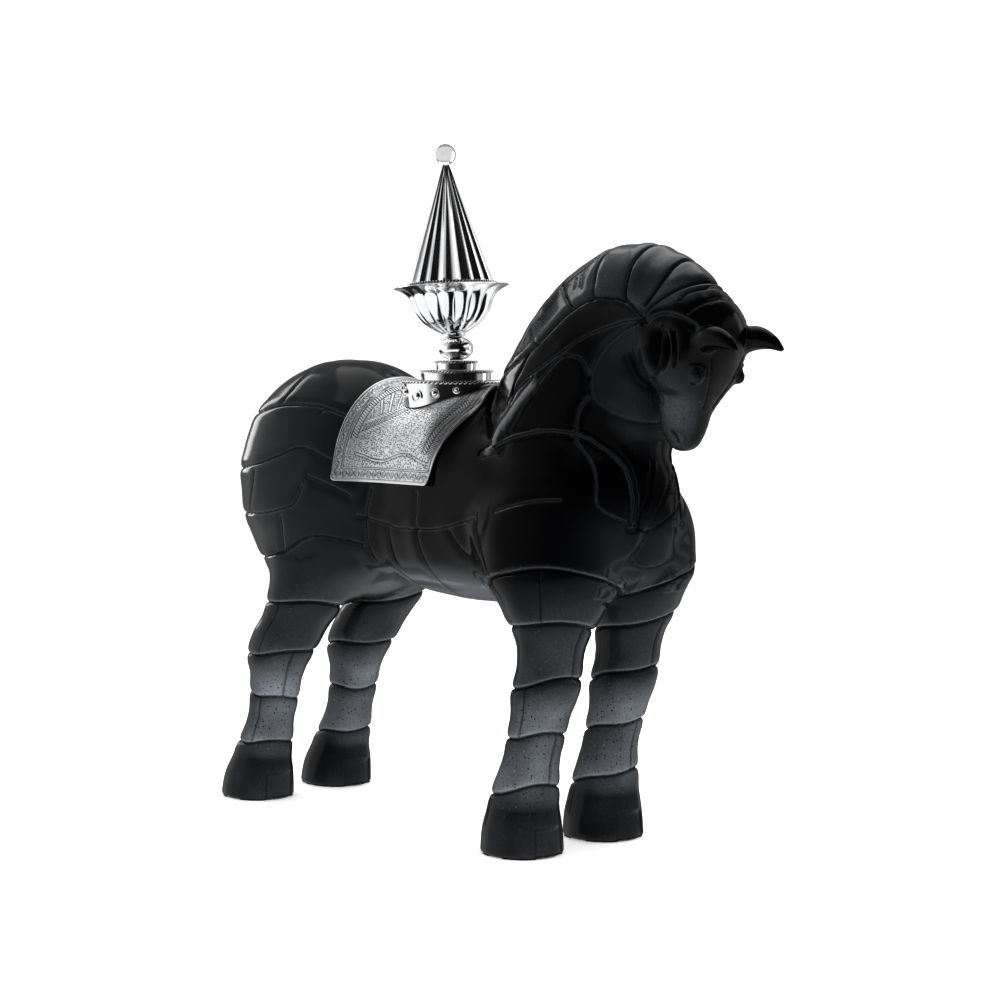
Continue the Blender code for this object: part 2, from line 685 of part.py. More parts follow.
def cup(low, centre):
    """A lobed bowl: its outer face up to the flange's edge, then its inner face down."""
    count = CUP_LOBES * 4
    profile = (
        (CUP_FOOT_RADIUS, 0.0),
        (CUP_FOOT_RADIUS, 0.08),
        (CUP_RADIUS * 0.68, 0.24),
        (CUP_RADIUS * 0.9, 0.45),
        (CUP_RADIUS, 0.70),
        (CUP_RADIUS * 1.04, 0.86),
        (CUP_FLANGE_RADIUS, 0.96),
        (CUP_FLANGE_RADIUS, 1.0),
    )
    rows = []
    for i, (radius, share) in enumerate(profile):
        depth = LOBE_DEPTH if 1 < i < 6 else 0.0
        rows.append(ring(radius, low + share * CUP_HEIGHT, count, centre, CUP_LOBES, depth))
    inside = ((CUP_RADIUS * 1.04, 0.93), (CUP_RADIUS * 0.94, 0.62), (CUP_RADIUS * 0.62, 0.29))
    for radius, share in inside:
        rows.append(ring(radius - CUP_WALL, low + share * CUP_HEIGHT, count, centre, CUP_LOBES, LOBE_DEPTH))
    rows.append(ring(CUP_FOOT_RADIUS * 0.7, low + 0.15 * CUP_HEIGHT, count, centre))
    return rings_piece("cup", rows, POLISHED_SILVER)


def cover(low, centre):
    """A fluted cone, hollow below, with a small flat tip that holds the ball."""
    count = COVER_FLUTES * 4
    top = low + COVER_HEIGHT
    rise = 0.86
    rows = [
        ring(COVER_TIP_RADIUS * 1.2, low + COVER_HEIGHT * rise, count, centre),
        ring(COVER_RADIUS - COVER_WALL, low, count, centre, COVER_FLUTES, FLUTE_DEPTH),
        ring(COVER_RADIUS, low, count, centre, COVER_FLUTES, FLUTE_DEPTH),
        ring(COVER_TIP_RADIUS, top, count, centre, COVER_FLUTES, FLUTE_DEPTH * 0.2),
    ]
    return rings_piece("cover", rows, POLISHED_SILVER)


def ball(low, centre):
    """A clear ball with a small flat below, where it sits on the cover's tip."""
    rows = []
    levels = 11
    start = math.asin(COVER_TIP_RADIUS / BALL_RADIUS)
    for i in range(levels):
        turn = start + (math.pi - 0.06 - start) * i / (levels - 1)
        height = low + BALL_RADIUS * (math.cos(start) - math.cos(turn))
        rows.append(ring(BALL_RADIUS * math.sin(turn), height, 16, centre))
    return rings_piece("ball", rows, CLEAR_CRYSTAL)


def centred_on_box(things):
    """Moves everything so that the middle of its box, at its foot, is the origin."""
    corners = np.array([v.co for thing in things for v in thing.data.vertices])
    low, high = corners.min(0), corners.max(0)
    shift = Matrix.Translation((-(low[0] + high[0]) / 2, -(low[1] + high[1]) / 2, -low[2]))
    for thing in things:
        thing.data.transform(shift)


def main():
    for old in list(bpy.data.objects):
        bpy.data.objects.remove(old)
    unit = HORSE_HEIGHT / DRAWN_HEIGHT
    centre = (SADDLE_X * unit, 0.0)
    things = [horse(unit), saddlecloth(unit), saddle_drum(unit)]
    level = DRUM_TOP * unit + REST_GAP
    things.append(disc("lower_disc", LOWER_DISC_RADIUS, level, LOWER_DISC_HEIGHT, centre))
    level += LOWER_DISC_HEIGHT + REST_GAP
    things.append(disc("upper_disc", UPPER_DISC_RADIUS, level, UPPER_DISC_HEIGHT, centre, 24))
    level += UPPER_DISC_HEIGHT + REST_GAP
    pivot = Vector((*centre, level))
    things.append(knop(level, centre))
    level += KNOP_HEIGHT + REST_GAP
    set_back = (centre[0] - CUP_SETBACK, 0.0)
    leaning = [cup(level, set_back)]
    level += CUP_HEIGHT + REST_GAP
    leaning.append(cover(level, set_back))
    level += COVER_HEIGHT + REST_GAP
    leaning.append(ball(level, set_back))
    things += [leaned(thing, pivot) for thing in leaning]
    centred_on_box(things)


main()
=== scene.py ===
"""Looks for a cast crystal horse that carries an engraved silver saddlecloth and a stacked silver finial.

The horse faces +X and stands on z = 0. Its form is a field of blended solids in drawn units, which are
thousandths of a metre. A fine net over that field carries the seams between its armour-like plates and the
smaller carving. The silver is turned, lobed and fluted by functions, with its ropes and engraving as relief.
"""

import math

import bmesh
import bpy
import numpy as np
from mathutils import Matrix, Vector


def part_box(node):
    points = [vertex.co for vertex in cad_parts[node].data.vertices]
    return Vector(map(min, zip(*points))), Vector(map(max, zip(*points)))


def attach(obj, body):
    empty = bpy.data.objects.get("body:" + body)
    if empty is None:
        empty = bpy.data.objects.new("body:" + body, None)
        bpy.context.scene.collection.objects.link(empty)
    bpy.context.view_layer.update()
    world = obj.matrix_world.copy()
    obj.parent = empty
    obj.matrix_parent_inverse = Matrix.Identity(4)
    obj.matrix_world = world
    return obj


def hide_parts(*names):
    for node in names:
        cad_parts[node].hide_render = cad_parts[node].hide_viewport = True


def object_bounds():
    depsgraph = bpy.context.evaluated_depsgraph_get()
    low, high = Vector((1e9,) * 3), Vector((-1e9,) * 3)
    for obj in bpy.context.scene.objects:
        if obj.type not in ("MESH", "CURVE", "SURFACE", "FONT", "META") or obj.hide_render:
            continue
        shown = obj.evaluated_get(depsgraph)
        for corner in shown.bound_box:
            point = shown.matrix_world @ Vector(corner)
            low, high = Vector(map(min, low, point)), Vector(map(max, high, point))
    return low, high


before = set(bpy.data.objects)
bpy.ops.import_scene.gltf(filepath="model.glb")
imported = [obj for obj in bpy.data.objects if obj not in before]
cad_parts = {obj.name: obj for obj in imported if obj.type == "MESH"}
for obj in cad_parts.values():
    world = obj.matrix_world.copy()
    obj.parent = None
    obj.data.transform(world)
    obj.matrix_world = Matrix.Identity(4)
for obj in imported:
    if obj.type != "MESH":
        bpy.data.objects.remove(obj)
cad_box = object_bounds()

# Drawn units to metres, and where the drawing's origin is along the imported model
UNIT = 0.001
SADDLE_X = 37.5
disc_low, disc_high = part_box("lower_disc")
SHIFT = (disc_low.x + disc_high.x) / 2 - SADDLE_X * UNIT

# The camera of the photograph, in the drawing's frame
CAMERA_PLACE = (1.3469, -1.2410, 0.3689)
CAMERA_TARGET = (0.0853, 0.0, 0.2504)
CAMERA_LENS = 85.0
CAMERA_SENSOR = 36.0

# The least divisor, and a distance past all that is near, in drawn units
TINY = 1e-6
FAR_OFF = 1e3

# The fine net over the horse
NET_STEP = 2.6
BLOCK = 4
HORSE_TRIANGLES = 190000
REFINED_WITHIN = (6.5, 2.6)
BREAST_REACH = 2.5
GRID_LENGTH = (-205, 350)
GRID_HALF_WIDTH = 100
GRID_HEIGHT = (-20, 450)

# Forms of the horse: centre, half sizes and squareness. The legs are rows of height, centre x, centre y and
# the two half widths. The neck, the head and the tail are rows of centre x, centre z, half depth, half width
# and taper to the crest. The ear is rows of x, y, z and radius.
RUMP = ((-82, 0, 259), (97, 82, 95.5), 2.1)
BARREL = ((86, 0, 253), (155, 60, 78.5), 2.4)
BACK_TAPER = 0.8
BACK_TAPER_TOP = 0.9
WITHERS = (60, 92)
THIGH = ((-87, 31, 237), (67, 33.5, 66), 2.0)
SHOULDER = ((175, 36, 224), (63, 42, 57), 2.0)
BREAST = ((200, 0, 253), (49, 40, 61), 2.0)
FORELOCK = ((293, 0, 374.8), (21.5, 21.8, 22.1), 2.0)
FRONT_LEG = (
    (-3, 151.7, 43, 31, 29.5),
    (4, 151.8, 43, 31, 29.5),
    (20, 152, 43, 29.6, 28.2),
    (36, 153.8, 43, 26, 24.7),
    (56, 156.5, 42, 23, 21.8),
    (76, 162, 41.5, 20.8, 19.8),
    (96, 167, 41.3, 21.5, 20.4),
    (116, 173, 41.2, 24.5, 23.5),
    (136, 177, 41, 24, 23),
    (156, 180, 41.5, 26, 25),
    (176, 181, 42, 33, 31),
    (200, 182, 42, 40, 36),
)
HIND_LEG = (
    (-3, -154.4, 42, 31, 28),
    (4, -154.3, 42, 31, 28),
    (20, -152, 42, 29.2, 26.3),
    (36, -147.3, 42, 24.4, 22),
    (56, -140, 42, 21, 19),
    (76, -134, 42, 20, 18),
    (96, -130, 42, 21.5, 19.5),
    (116, -125.5, 42, 26.5, 24),
    (136, -114, 42, 30.5, 27.5),
    (156, -97, 42, 31, 28),
    (176, -86, 42, 35, 31),
    (200, -80, 40, 42, 34),
)
LEG_TOP = 200
NECK = (
    (158, 297, 76, 58, 0.3),
    (177, 339, 69, 50, 0.3),
    (193.5, 368.5, 57.5, 43.7, 0.3),
    (214.6, 387.2, 49.3, 39.7, 0.25),
    (237.2, 393.6, 42.9, 36, 0.2),
    (260.8, 391.5, 33.5, 31.5, 0.1),
    (275, 383.5, 27.5, 28.5, 0),
)
HEAD = (
    (281.7, 375.7, 27.3, 27.7, 0),
    (275.2, 362.6, 32.5, 34.5, 0),
    (277.1, 349.8, 25.3, 27.1, 0.12),
    (272.9, 327.8, 17, 19.1, 0.3),
    (269.2, 314.5, 16.3, 14, 0.2),
    (267.8, 306.6, 13.4, 10.8, 0),
)
HEAD_SQUARENESS = 2.7
EAR = ((297, 20, 367, 8.2), (312, 22, 371.5, 8.4), (325, 23.5, 369, 5.2), (334, 24, 364, 1.8))
TAIL = (
    (-160, 318, 8, 9, 0),
    (-176, 298, 10, 11, 0),
    (-183, 268, 10, 12, 0),
    (-181, 238, 9, 11, 0),
    (-172, 208, 5, 7, 0),
)
EYE = ((297.5, 22.2, 345), (5, 3.8, 5), 2.0)

# How far from the place where two forms meet the skin is rounded over
LOIN_BLEND = 25
HOCK_BLEND = 14
ELBOW_BLEND = 18
THIGH_BLEND = 12
SHOULDER_BLEND = 14
BREAST_BLEND = 18
NECK_BLEND = 8
TAIL_BLEND = 5
FORELOCK_BLEND = 10
JAW_BLEND = 8
EYE_BLEND = 3

# Seams between the plates, seen from the side as x, z points, each with its depth
SEAMS = (
    (((-205, 306), (-139, 312), (-92, 319), (-55, 320), (-29, 313)), 1.6),
    (((-92, 322), (-91, 340), (-98, 362)), 1.2),
    (((-180, 264), (-149, 268), (-104, 274), (-79, 281), (-55, 288), (-29, 278)), 1.6),
    (((-46, 266), (-33, 261), (-14, 252)), 1.0),
    (((-160, 232), (-108, 234), (-69, 241), (-58, 248), (-52, 258)), 1.4),
    (((-150, 196), (-124, 198), (-83, 205), (-49, 219), (-10, 214)), 1.6),
    (((-76, 234), (-82, 208)), 0.8),
    (((-108, 268), (-122, 234)), 0.6),
    (((4, 258), (-1, 240), (-5, 219), (-7, 202)), 1.4),
    (((-8, 237), (28, 230), (57, 230), (82, 232), (122, 242)), 1.0),
    (((57, 257), (56, 231)), 0.7),
    (((21, 229), (18, 212), (17, 197), (28, 170)), 1.2),
    (((56, 229), (56, 211), (62, 193), (74, 168)), 1.2),
    (((92, 231), (101, 218), (118, 203), (136, 180)), 1.2),
    (((125, 244), (124, 231), (131, 218), (150, 203)), 1.4),
    (((210, 304), (218, 284), (223, 266), (228, 254), (243, 241)), 1.0),
    (((152, 249), (186, 257), (207, 259)), 0.8),
    (((247, 238), (243, 227), (238, 216), (235, 204), (228, 190)), 1.2),
    (((151, 305), (158, 316), (166, 328), (176, 340), (188, 352), (199, 360)), 1.2),
    (((199, 360), (211, 358), (218, 350), (221, 334), (213, 320), (211, 306)), 1.3),
    (((262, 386), (242, 376), (229, 365), (222, 351), (220, 336), (228, 322), (243, 310)), 1.6),
    (((96, 340), (153, 361), (189, 386), (213, 398), (230, 399), (247, 396), (263, 382)), 1.8),
    (((145, 327), (153, 340), (178, 352), (200, 364), (213, 372), (231, 379), (246, 383), (258, 384)), 0.9),
    (((169, 409), (182, 401), (196, 393)), 1.4),
    (((204, 440), (207, 420), (216, 399)), 1.9),
    (((244, 446), (240, 422), (244, 398)), 2.0),
    (((272, 438), (269, 412), (262, 394)), 1.5),
    (((262, 388), (273, 399), (286, 408), (300, 414)), 1.5),
    (((263, 381), (274, 388), (286, 387), (297, 382), (306, 374)), 1.3),
    (((-30, 341), (-46, 349), (-62, 354)), 1.0),
)

# Narrow cuts seen from the side: x, z points, half width and depth. A depth below zero is a ridge.
CUTS = (
    (((91, 313), (128, 320), (144, 330), (165, 343)), 1.0, 0.9),
    (((144, 332), (145, 342), (152, 352), (156, 362)), 1.3, 1.6),
    (((115, 290), (126, 303), (142, 317), (158, 331), (170, 344)), 1.1, 1.2),
    (((120, 290), (134, 307), (152, 323), (170, 339)), 1.7, -1.3),
    (((154, 305), (162, 317), (172, 330)), 0.8, -0.9),
    (((-48, 313), (-44, 317), (-34, 317), (-24, 313)), 0.9, 0.7),
    (((241, 358), (242, 349), (244, 341), (247, 334)), 2.9, 2.8),
    (((247, 334), (247, 322), (245, 312)), 1.2, 1.6),
    (((259, 381), (250, 368), (246, 352), (249, 338), (252, 326), (248, 312)), 1.6, -1.0),
    (((276, 379), (274, 361), (269, 346)), 1.5, -2.2),
    (((268, 307), (270, 304), (271, 300)), 1.1, 1.5),
    (((272, 309), (275, 307), (276, 303), (274, 299)), 1.0, -0.7),
    (((286, 376), (288, 365), (287, 353)), 1.4, 1.9),
    (((285, 397), (287, 402), (293, 405)), 1.4, 1.5),
    (((293, 389), (298, 395), (302, 398)), 1.5, 1.4),
    (((172, 406), (183, 416), (197, 426)), 0.8, 0.7),
    (((186, 414), (191, 406)), 0.9, 0.9),
    (((191, 416), (197, 408)), 0.9, 0.9),
    (((167, 366), (154, 372), (144, 378)), 1.2, 1.2),
)

# A raised bead over the shoulder, seen from the side, with its height, half width and the cuts beside it
BEAD = (
    (115, 288),
    (138, 296),
    (164, 303),
    (189, 307),
    (208, 306),
    (220, 302),
    (229, 290),
    (238, 277),
    (243, 258),
    (242, 240),
)
BEAD_HEIGHT = 1.1
BEAD_WIDTH = 1.9
BEAD_CUT = (3.5, 1.1, 1.3)

# Cuts over the breast seen from the front: y, z points, half width and depth
FRONT_CUTS = (
    (((-6, 286), (-11, 273), (-14, 262), (-20, 251), (-24, 239)), 0.9, 0.6),
    (((-3, 284), (-8, 272), (-11, 261), (-16, 250)), 0.8, -0.4),
    (((27, 284), (9, 272), (0, 262), (-8, 250), (-14, 240)), 0.8, 0.6),
    (((29, 281), (13, 271), (3, 260), (-5, 249)), 0.9, -0.4),
    (((31, 283), (19, 273), (13, 261), (11, 248)), 0.8, 0.6),
    (((-24, 239), (-15, 236), (-8, 239), (4, 245), (17, 251), (30, 262), (38, 280)), 1.1, 1.2),
    (((-29, 376), (-21, 366), (-16, 357), (-12, 344), (-7, 331), (-5, 324)), 1.0, 1.1),
    (((29, 376), (21, 366), (16, 357), (12, 344), (7, 331), (5, 324)), 1.0, 1.1),
    (((-36, 186), (-18, 182), (4, 187), (15, 192), (25, 196), (38, 200), (56, 205)), 1.2, 1.4),
)
FRONT_START = 198.0
FRONT_RANGE = (176.0, 298.0)

# Hollows of the head seen from the side: centre, half sizes and depth
HOLLOWS = (
    ((270.5, 364), (14, 18.5), 5.0),
    ((263, 330), (5.5, 6.5), 1.4),
)
HOLLOW_EDGE = (0.55, 1.1)
HOLLOW_RIM = 0.85

# The face is carved only past a half width. The net is fine past x and z over the head and past x, y and z
# over the ears, as if a seam were a gap away, and the carving fades out towards the ears.
FACE_HALF_WIDTH = 11
FINE_HEAD = (240, 290)
HEAD_GAP = 5
FINE_EAR = (296, 10, 358)
EAR_GAP = 2
EAR_CLEAR = (1.0, 4.5)
LID_CENTRE = (300.5, 25, 346)
LID_ROUNDS = ((8.6, 1.2, 0.5), (6.8, 1.0, -0.6), (5.2, 0.7, 0.7), (2.2, 0.6, 0.4))
LID_OPENING = 0.9
LID_SOFTNESS = 0.4
LID_REACH = 8
LID_ARC = 0.35
LID_TURN = math.radians(25)
# Radius, width and amount of the painted shade in the lines around the eye
LID_LINES = ((8.8, 0.6, 0.7), (5.3, 0.6, 0.9), (2.2, 0.5, 0.8))

# Seams around the legs: height, rise to the front, rise to the outer side. Between them an upright seam
# marks each band at an angle from the front to the outer side.
FRONT_RINGS = ((195, 7, 14), (165, 4, 5), (125, 6, 0), (86, 4, 1), (46, 6, 1))
HIND_RINGS = ((161, 2, 4), (121, 2, -1), (85, -1.5, 1), (46, 1.5, 0.5))
RING_DEPTH = 1.7
RING_WAVE = 1.1
FRONT_BAND_ANGLES = (60, 2, 85, 3)
HIND_BAND_ANGLES = (85, 20, 76)
LEG_PAIRS = (
    (FRONT_LEG, FRONT_RINGS, FRONT_BAND_ANGLES),
    (HIND_LEG, HIND_RINGS, HIND_BAND_ANGLES),
)
BAND_SEAM_DEPTH = 1.1
HOOF_HEIGHT = 21
HOOF_HALF_ANGLE = 26
HOOF_DEPTH = 1.5
HOOF_SOFTNESS = 0.6
SEAM_WIDTH = 1.7
SEAM_CORE = 0.75
SEAM_REACH = 16.0
CUT_REACH = 8
SEAM_SLOPE = 0.12
BAND_FADE = 4.0
PILLOW_RISE = 0.5
PILLOW_WIDTH = 6.0
LEG_SEAM_SIZE = 1.35
LEG_SEAM_HEIGHT = 30.0
BODY_SEAM_FOOT = 190.0
FOOT_ROUNDING = 3.0

# The saddlecloth, in metres and radians
CLOTH_GAP = 0.0022
CLOTH_THICKNESS = 0.0012
CLOTH_LENGTH = 0.0975
CLOTH_DROP = 1.55
CLOTH_FLARE = 0.002
CLOTH_SWEEP = 0.0135
CLOTH_SWEEP_REACH = 0.9
CLOTH_X = 24.0
CLOTH_AXIS = 262.0
CORNER_RADIUS = 0.004
CLOTH_GUIDES = (17, 73)
CLOTH_NET = (200, 470)
UNDERSIDE_STEP = (9, 12)
FLARE_RANGE = (0.85, 1.15)

# The engraving of the cloth, in thousandths of a metre from its edges
SCROLL_BAND = (3.0, 9.6)
SCROLL_LENGTH = 10.6
SCROLL_MARGIN = 1.1
SCROLL_LINE = 0.26
LEAF_SHIFT = 0.7
LEAF_RADIUS = 1.7
LEAF_CURL = 0.45
LEAF_LINE = 0.3
LEAF_BUD = 0.55
CORD = (13.2, 18.4)
CORD_START = 34.0
CORD_PITCH = 2.3
CORD_SLANT = 0.7
STRIP_ANGLE = 31.0
STRIP_START = 33.0
STRIP_WIDTH = 4.6
STRIP_COUNT = 3
FRONT_STRIPS = 3
FRONT_STRIPS_FROM = 24.0
RAY_PITCH = 6.4
RAY_START = 1.5
RAY_HALF_WIDTH = 1.0
RIM_LINE = 2.3
PLAIN_RIM = 1.9
BORDER_LINES = (0.4, 1.7)
FRONT_LINES = (4.2, 5.6)
FRONT_FIELD = 6.2
FIELD_GAP = 2.3
LINE_WIDTH = 0.35
CHEVRON_PITCH = 2.4
CHEVRON_SLANT = 0.9
WAVE_LENGTH = 58
WAVE_PLACE = 0.62
WAVE_SWING = 3.0
WAVE_GAP = 2.2
WAVE_LINE = 0.4
STIPPLE_SCALE = 820.0
ENGRAVING_DEPTH = 0.32
GROUND_DEPTH = 0.10
HEM_HEIGHT = 0.22
HEM_INNER_EDGE = (1.3, 2.2)
HEM_OUTER_EDGE = (0, 0.9)

# The drum, the discs, the knop, the cup, the cover and the ball, in metres. Sides count around a piece, and
# strands around a rope. A disc has its node, radius, height and strands.
DRUM_SIDES = 160
DISC_SIDES = 128
KNOP_SIDES = 96
BALL_SIDES = 64
BOSS_SIDES = 32
DRUM_STRANDS = 68
DRUM_RADIUS = 0.0405
DRUM_TOP = 0.3395
DRUM_WALL = 0.0015
DRUM_GAP = 0.0007
DRUM_BEVEL = 0.0004
BOSS_COUNT = 5
BOSS_SPACING = math.radians(23.5)
BOSS_RADII = (0.0056, 0.0042, 0.0031)
BOSS_HEIGHT = 0.0024
BOSS_DROP = 0.0115
BOSS_CLIMB = 0.0026
BOSS_DOME = 0.58
BOSS_DOME_FOOT = 1.2
BOSS_STEPS = 7
BOSS_RING = ((1.0, 0.9), (0.95, 1.3), (0.84, 1.4), (0.76, 1.1), (0.70, 0.5), (0.62, 0.7))
ROPE_RADIUS = 0.0011
DISCS = (
    ("lower_disc", 0.0281, 0.0077, 66),
    ("upper_disc", 0.0164, 0.0070, 40),
)
DISC_SET_IN = 0.0014
DISC_BEVEL = 0.0003
DISC_BRIM = ((0, 0.0002), (0.0012, 0.0001))
REST_GAP = 0.0003
KNOP_RADIUS = 0.0133
KNOP_HEIGHT = 0.0175
KNOP_LEVELS = 33
KNOP_END = 0.12
LEAN = math.radians(3.6)
CUP_HEIGHT = 0.0385
CUP_SETBACK = 0.0016
CUP_LOBES = 14
LOBE_SIDES = 16
CUP_LEVELS = (66, 31)
COVER_RADIUS = 0.0356
COVER_HEIGHT = 0.0920
COVER_TIP_RADIUS = 0.0024
COVER_WALL = 0.0014
COVER_TIP_INSIDE = 0.86
COVER_FOOT = 0.0006
COVER_INNER_FOOT = 0.0005
COVER_LEVELS = 25
COVER_FLUTES = 20
FLUTE_SIDES = 12
FLUTE_TAPER = 0.8
FLUTE_DEPTH = 0.0027
BALL_RADIUS = 0.0080
BALL_LEVELS = 40
BALL_CAP = 0.06

# The cup's wall in section: radius, share of the height and depth between the lobes
CUP_OUTSIDE = (
    (8.5, 0.0, 0.0),
    (8.6, 0.035, 0.0),
    (9.2, 0.07, 0.2),
    (12.8, 0.115, 0.9),
    (17.2, 0.185, 1.8),
    (21.8, 0.27, 2.5),
    (25.2, 0.37, 3.0),
    (28.0, 0.48, 3.3),
    (30.0, 0.60, 3.3),
    (31.8, 0.72, 3.0),
    (34.2, 0.83, 2.6),
    (37.8, 0.905, 2.1),
    (41.6, 0.955, 1.3),
    (44.0, 0.985, 0.0),
)
CUP_INSIDE = (
    (43.6, 0.998, 0.0),
    (41.0, 0.968, 0.2),
    (36.4, 0.925, 1.0),
    (32.0, 0.855, 1.9),
    (29.4, 0.72, 2.6),
    (24.0, 0.40, 2.4),
    (7.0, 0.16, 0.0),
)
COVER_ROPE = 0.0013
COVER_ROPE_STRANDS = 88

# Frost over the lower horse, in metres from the ground, and over the muzzle and hooves in drawn units. The
# frost's paleness is partly the frosted glass's own tone and partly painted light from the floor below. Most
# values after these paint light, highlights or shade into the black glass's colour.
FROST_TOP = (0.215, 0.165, 0.19)
FROST_FULL = (0.128, 0.102, 0.81)
MUZZLE = (274, 316, 14, 46)
HOOF_TOP = (33, 50)
# Painted highlight beside the body's seams
SEAM_LIGHT = 0.027
# Painted shade under each leg band's upper seam, rising to painted light towards its foot
BAND_SHADE = 0.05
BAND_LIGHT = 1.9
# Painted highlights on the lips just above the leg seams
LIP_PLACE = 1.9
LIP_LIGHT = 3.6
# Ovals of painted light over the flank, the cheek and the belly
PAINTED_LIGHT_OVALS = (
    ((-95, 275), (110, 95), 0.08),
    ((243, 346), (24, 36), 0.09),
    ((60, 172), (110, 30), 0.62),
)
# Painted light over the breast where it faces forward
BREAST_PAINTED_LIGHT = ((230, 207), (36, 52), 0.12)
QUIET = ((200, 285), (78, 112))
SEAM_LIP = 0.8
MANE_BORDER = ((96, 340), (153, 361), (189, 386), (213, 398), (230, 399), (247, 396), (263, 388), (300, 400))
MANE_EDGE = (-1, 4)
MANE_START = (120, 170)
HEAD_SHADE_X = (238, 256)
HEAD_SHADE_Z = (285, 300)
SEAM_LIGHT_FROM = (150, 165)
LIP_LIGHT_TO = (205, 225)
GLINT_WIDTH = 2.6
CREST_FACING = (0.5, 0.85)
CREST_HEIGHT = (395, 425)
OVAL_EDGE = (0.6, 1.2)
DEEP_CUT = 1.5
DEEP_FRONT_CUT = 1.0
HIGH_RIDGE = -2
VEIL = (0.05, 0.155)
BLACK = (0.0012, 0.0013, 0.0018)
FROST_COLOUR = (0.84, 0.91, 1.0)
NOISE_RANGE = (0.3, 0.7)
CRYSTAL_CLOUD_SCALE = 24.0
CRYSTAL_GRAIN_SCALE = 700.0
FROST_RELIEF_SCALE = 600.0
FROST_RELIEF = 0.35
FROST_DRIFT = 0.05
HOOF_FROST = 0.13
MUZZLE_FROST = 0.35
# Painted reflection that pales the mane
MANE_PAINTED_REFLECTION = 0.22
# Painted shade on the frost where the skin turns away from the view
EDGE_SHADE = 0.8
# Painted shade in seams, cuts and hollows
HOLLOW_SHADE = 0.85
QUIET_SHADE = 0.75
BUBBLE_SCALE = 500.0
BUBBLE_SIZES = (0.35, 1.0, 0.0, 0.36)
BUBBLE_LIGHT = 0.18
BODY_GLOSS = 0.15
FROST_GLOSS = 0.12
BODY_ROUGHNESS = (0.10, 0.16)
FROST_ROUGHNESS = 0.26
# A painted highlight along the withers, with more gloss there, and one on the crest's top
GLINT = ((120, 290), (134, 307), (152, 323), (170, 339))
GLINT_GLOSS = 0.9
GLINT_LIGHT = 0.1
CREST_GLINT = 0.5

# The silver, plain and engraved, the clear glass and the floor: colours, roughness and the scale of marks
SILVER = (0.93, 0.935, 0.94)
SILVER_PALE = (0.90, 0.905, 0.91, 1)
SILVER_CLOUDED = (0.74, 0.745, 0.76, 1)
SILVER_RECESS = (0.01, 0.01, 0.012, 1)
SILVER_ROUGHNESS = (0.05, 0.12)
SILVER_CLOUD_SCALE = 45.0
HAIRLINE_SCALE = (300.0, 300.0, 1400.0)
HAIRLINE_ROUGHNESS = 0.05
ENGRAVED = (0.85, 0.86, 0.87)
ENGRAVED_PALE = (0.70, 0.705, 0.72, 1)
ENGRAVED_DARK = (0.02, 0.02, 0.024, 1)
ENGRAVED_ROUGHNESS = (0.34, 0.46)
ENGRAVED_CLOUD_SCALE = 60.0
ENGRAVED_GRAIN_SCALE = 900.0
PIT_EDGE = (0.52, 0.26)
PIT_DEPTH = 0.8
PIT_DARK = 0.9
GLASS_IOR = 1.5
GLASS_WAVE_SCALE = 160.0
FLOOR_COLOUR = (0.93, 0.93, 0.93)
FLOOR_PALE = (0.95, 0.95, 0.95, 1)

# The studio: what a mirror sees by heading away from the camera and by height, what clear glass sees, the
# floor, and each light's name, place, target, size and power
MIRROR_STOPS = ((0.0, 0.004), (0.36, 0.015), (0.5, 0.3), (0.64, 1.0))
MIRROR_TURN = math.radians(36)
MIRROR_HEIGHTS = (0.3, 0.65)
MIRROR_ABOVE = 0.7
MIRROR_LEVEL = 1.25
ROOM_LIGHT = 1.28
GLASS_LIGHT = 0.93
AWAY_DIP = (0.62, 0.90, 0.25)
SIDE_BOX = (math.radians(98), 0.76, 0.82)
SIDE_BOX_HEIGHTS = (0.12, 0.45, 0.35, 1.0)
BELOW = (-0.08, -0.35, 0.95)
GLASS_RIM = (0.5, 0.76, 0.4)
GLASS_CROWN = (0.45, 0.75, 0.07)
GLASS_GREY = (0.8, 0.8, 0.8, 1)
FLOOR_GLOW = 0.35
TONE = 0.8
FLOOR_REACH = 1.5
FLOOR_SIDES = 96
FLOOR_GAP = 0.0003
LIGHTS = (
    ("above", (-0.3, 0.5, 1.9), (0.05, 0, 0.3), (1.6, 1.6), 10),
    ("left_back", (-1.9, 0.2, 1.0), (0, 0, 0.25), (0.5, 1.6), 10),
    ("right_back", (0.9, 1.9, 0.8), (0, 0, 0.25), (0.6, 1.6), 5),
)


def through(rows, share):
    """Rows of numbers, evenly keyed from 0 to 1, read at a share of the way with smooth slopes."""
    rows = np.asarray(rows, float)
    slope = np.gradient(rows, axis=0)
    place = np.clip(np.asarray(share, float), 0, 1) * (len(rows) - 1)
    first = np.minimum(place.astype(int), len(rows) - 2)
    s = (place - first).reshape(place.shape + (1,) * (rows.ndim - 1))
    return (
        (2 * s**3 - 3 * s**2 + 1) * rows[first]
        + (s**3 - 2 * s**2 + s) * slope[first]
        + (3 * s**2 - 2 * s**3) * rows[first + 1]
        + (s**3 - s**2) * slope[first + 1]
    )


def share_at(keys, value):
    """The share of the way along evenly spaced rows at which their first column has this value."""
    return np.interp(value, keys, np.linspace(0, 1, len(keys)))


def blend(a, b, radius):
    """The nearer of two distances, rounded where they meet."""
    reach = np.maximum(radius - np.abs(a - b), 0) / radius
    return np.minimum(a, b) - reach * reach * radius / 4


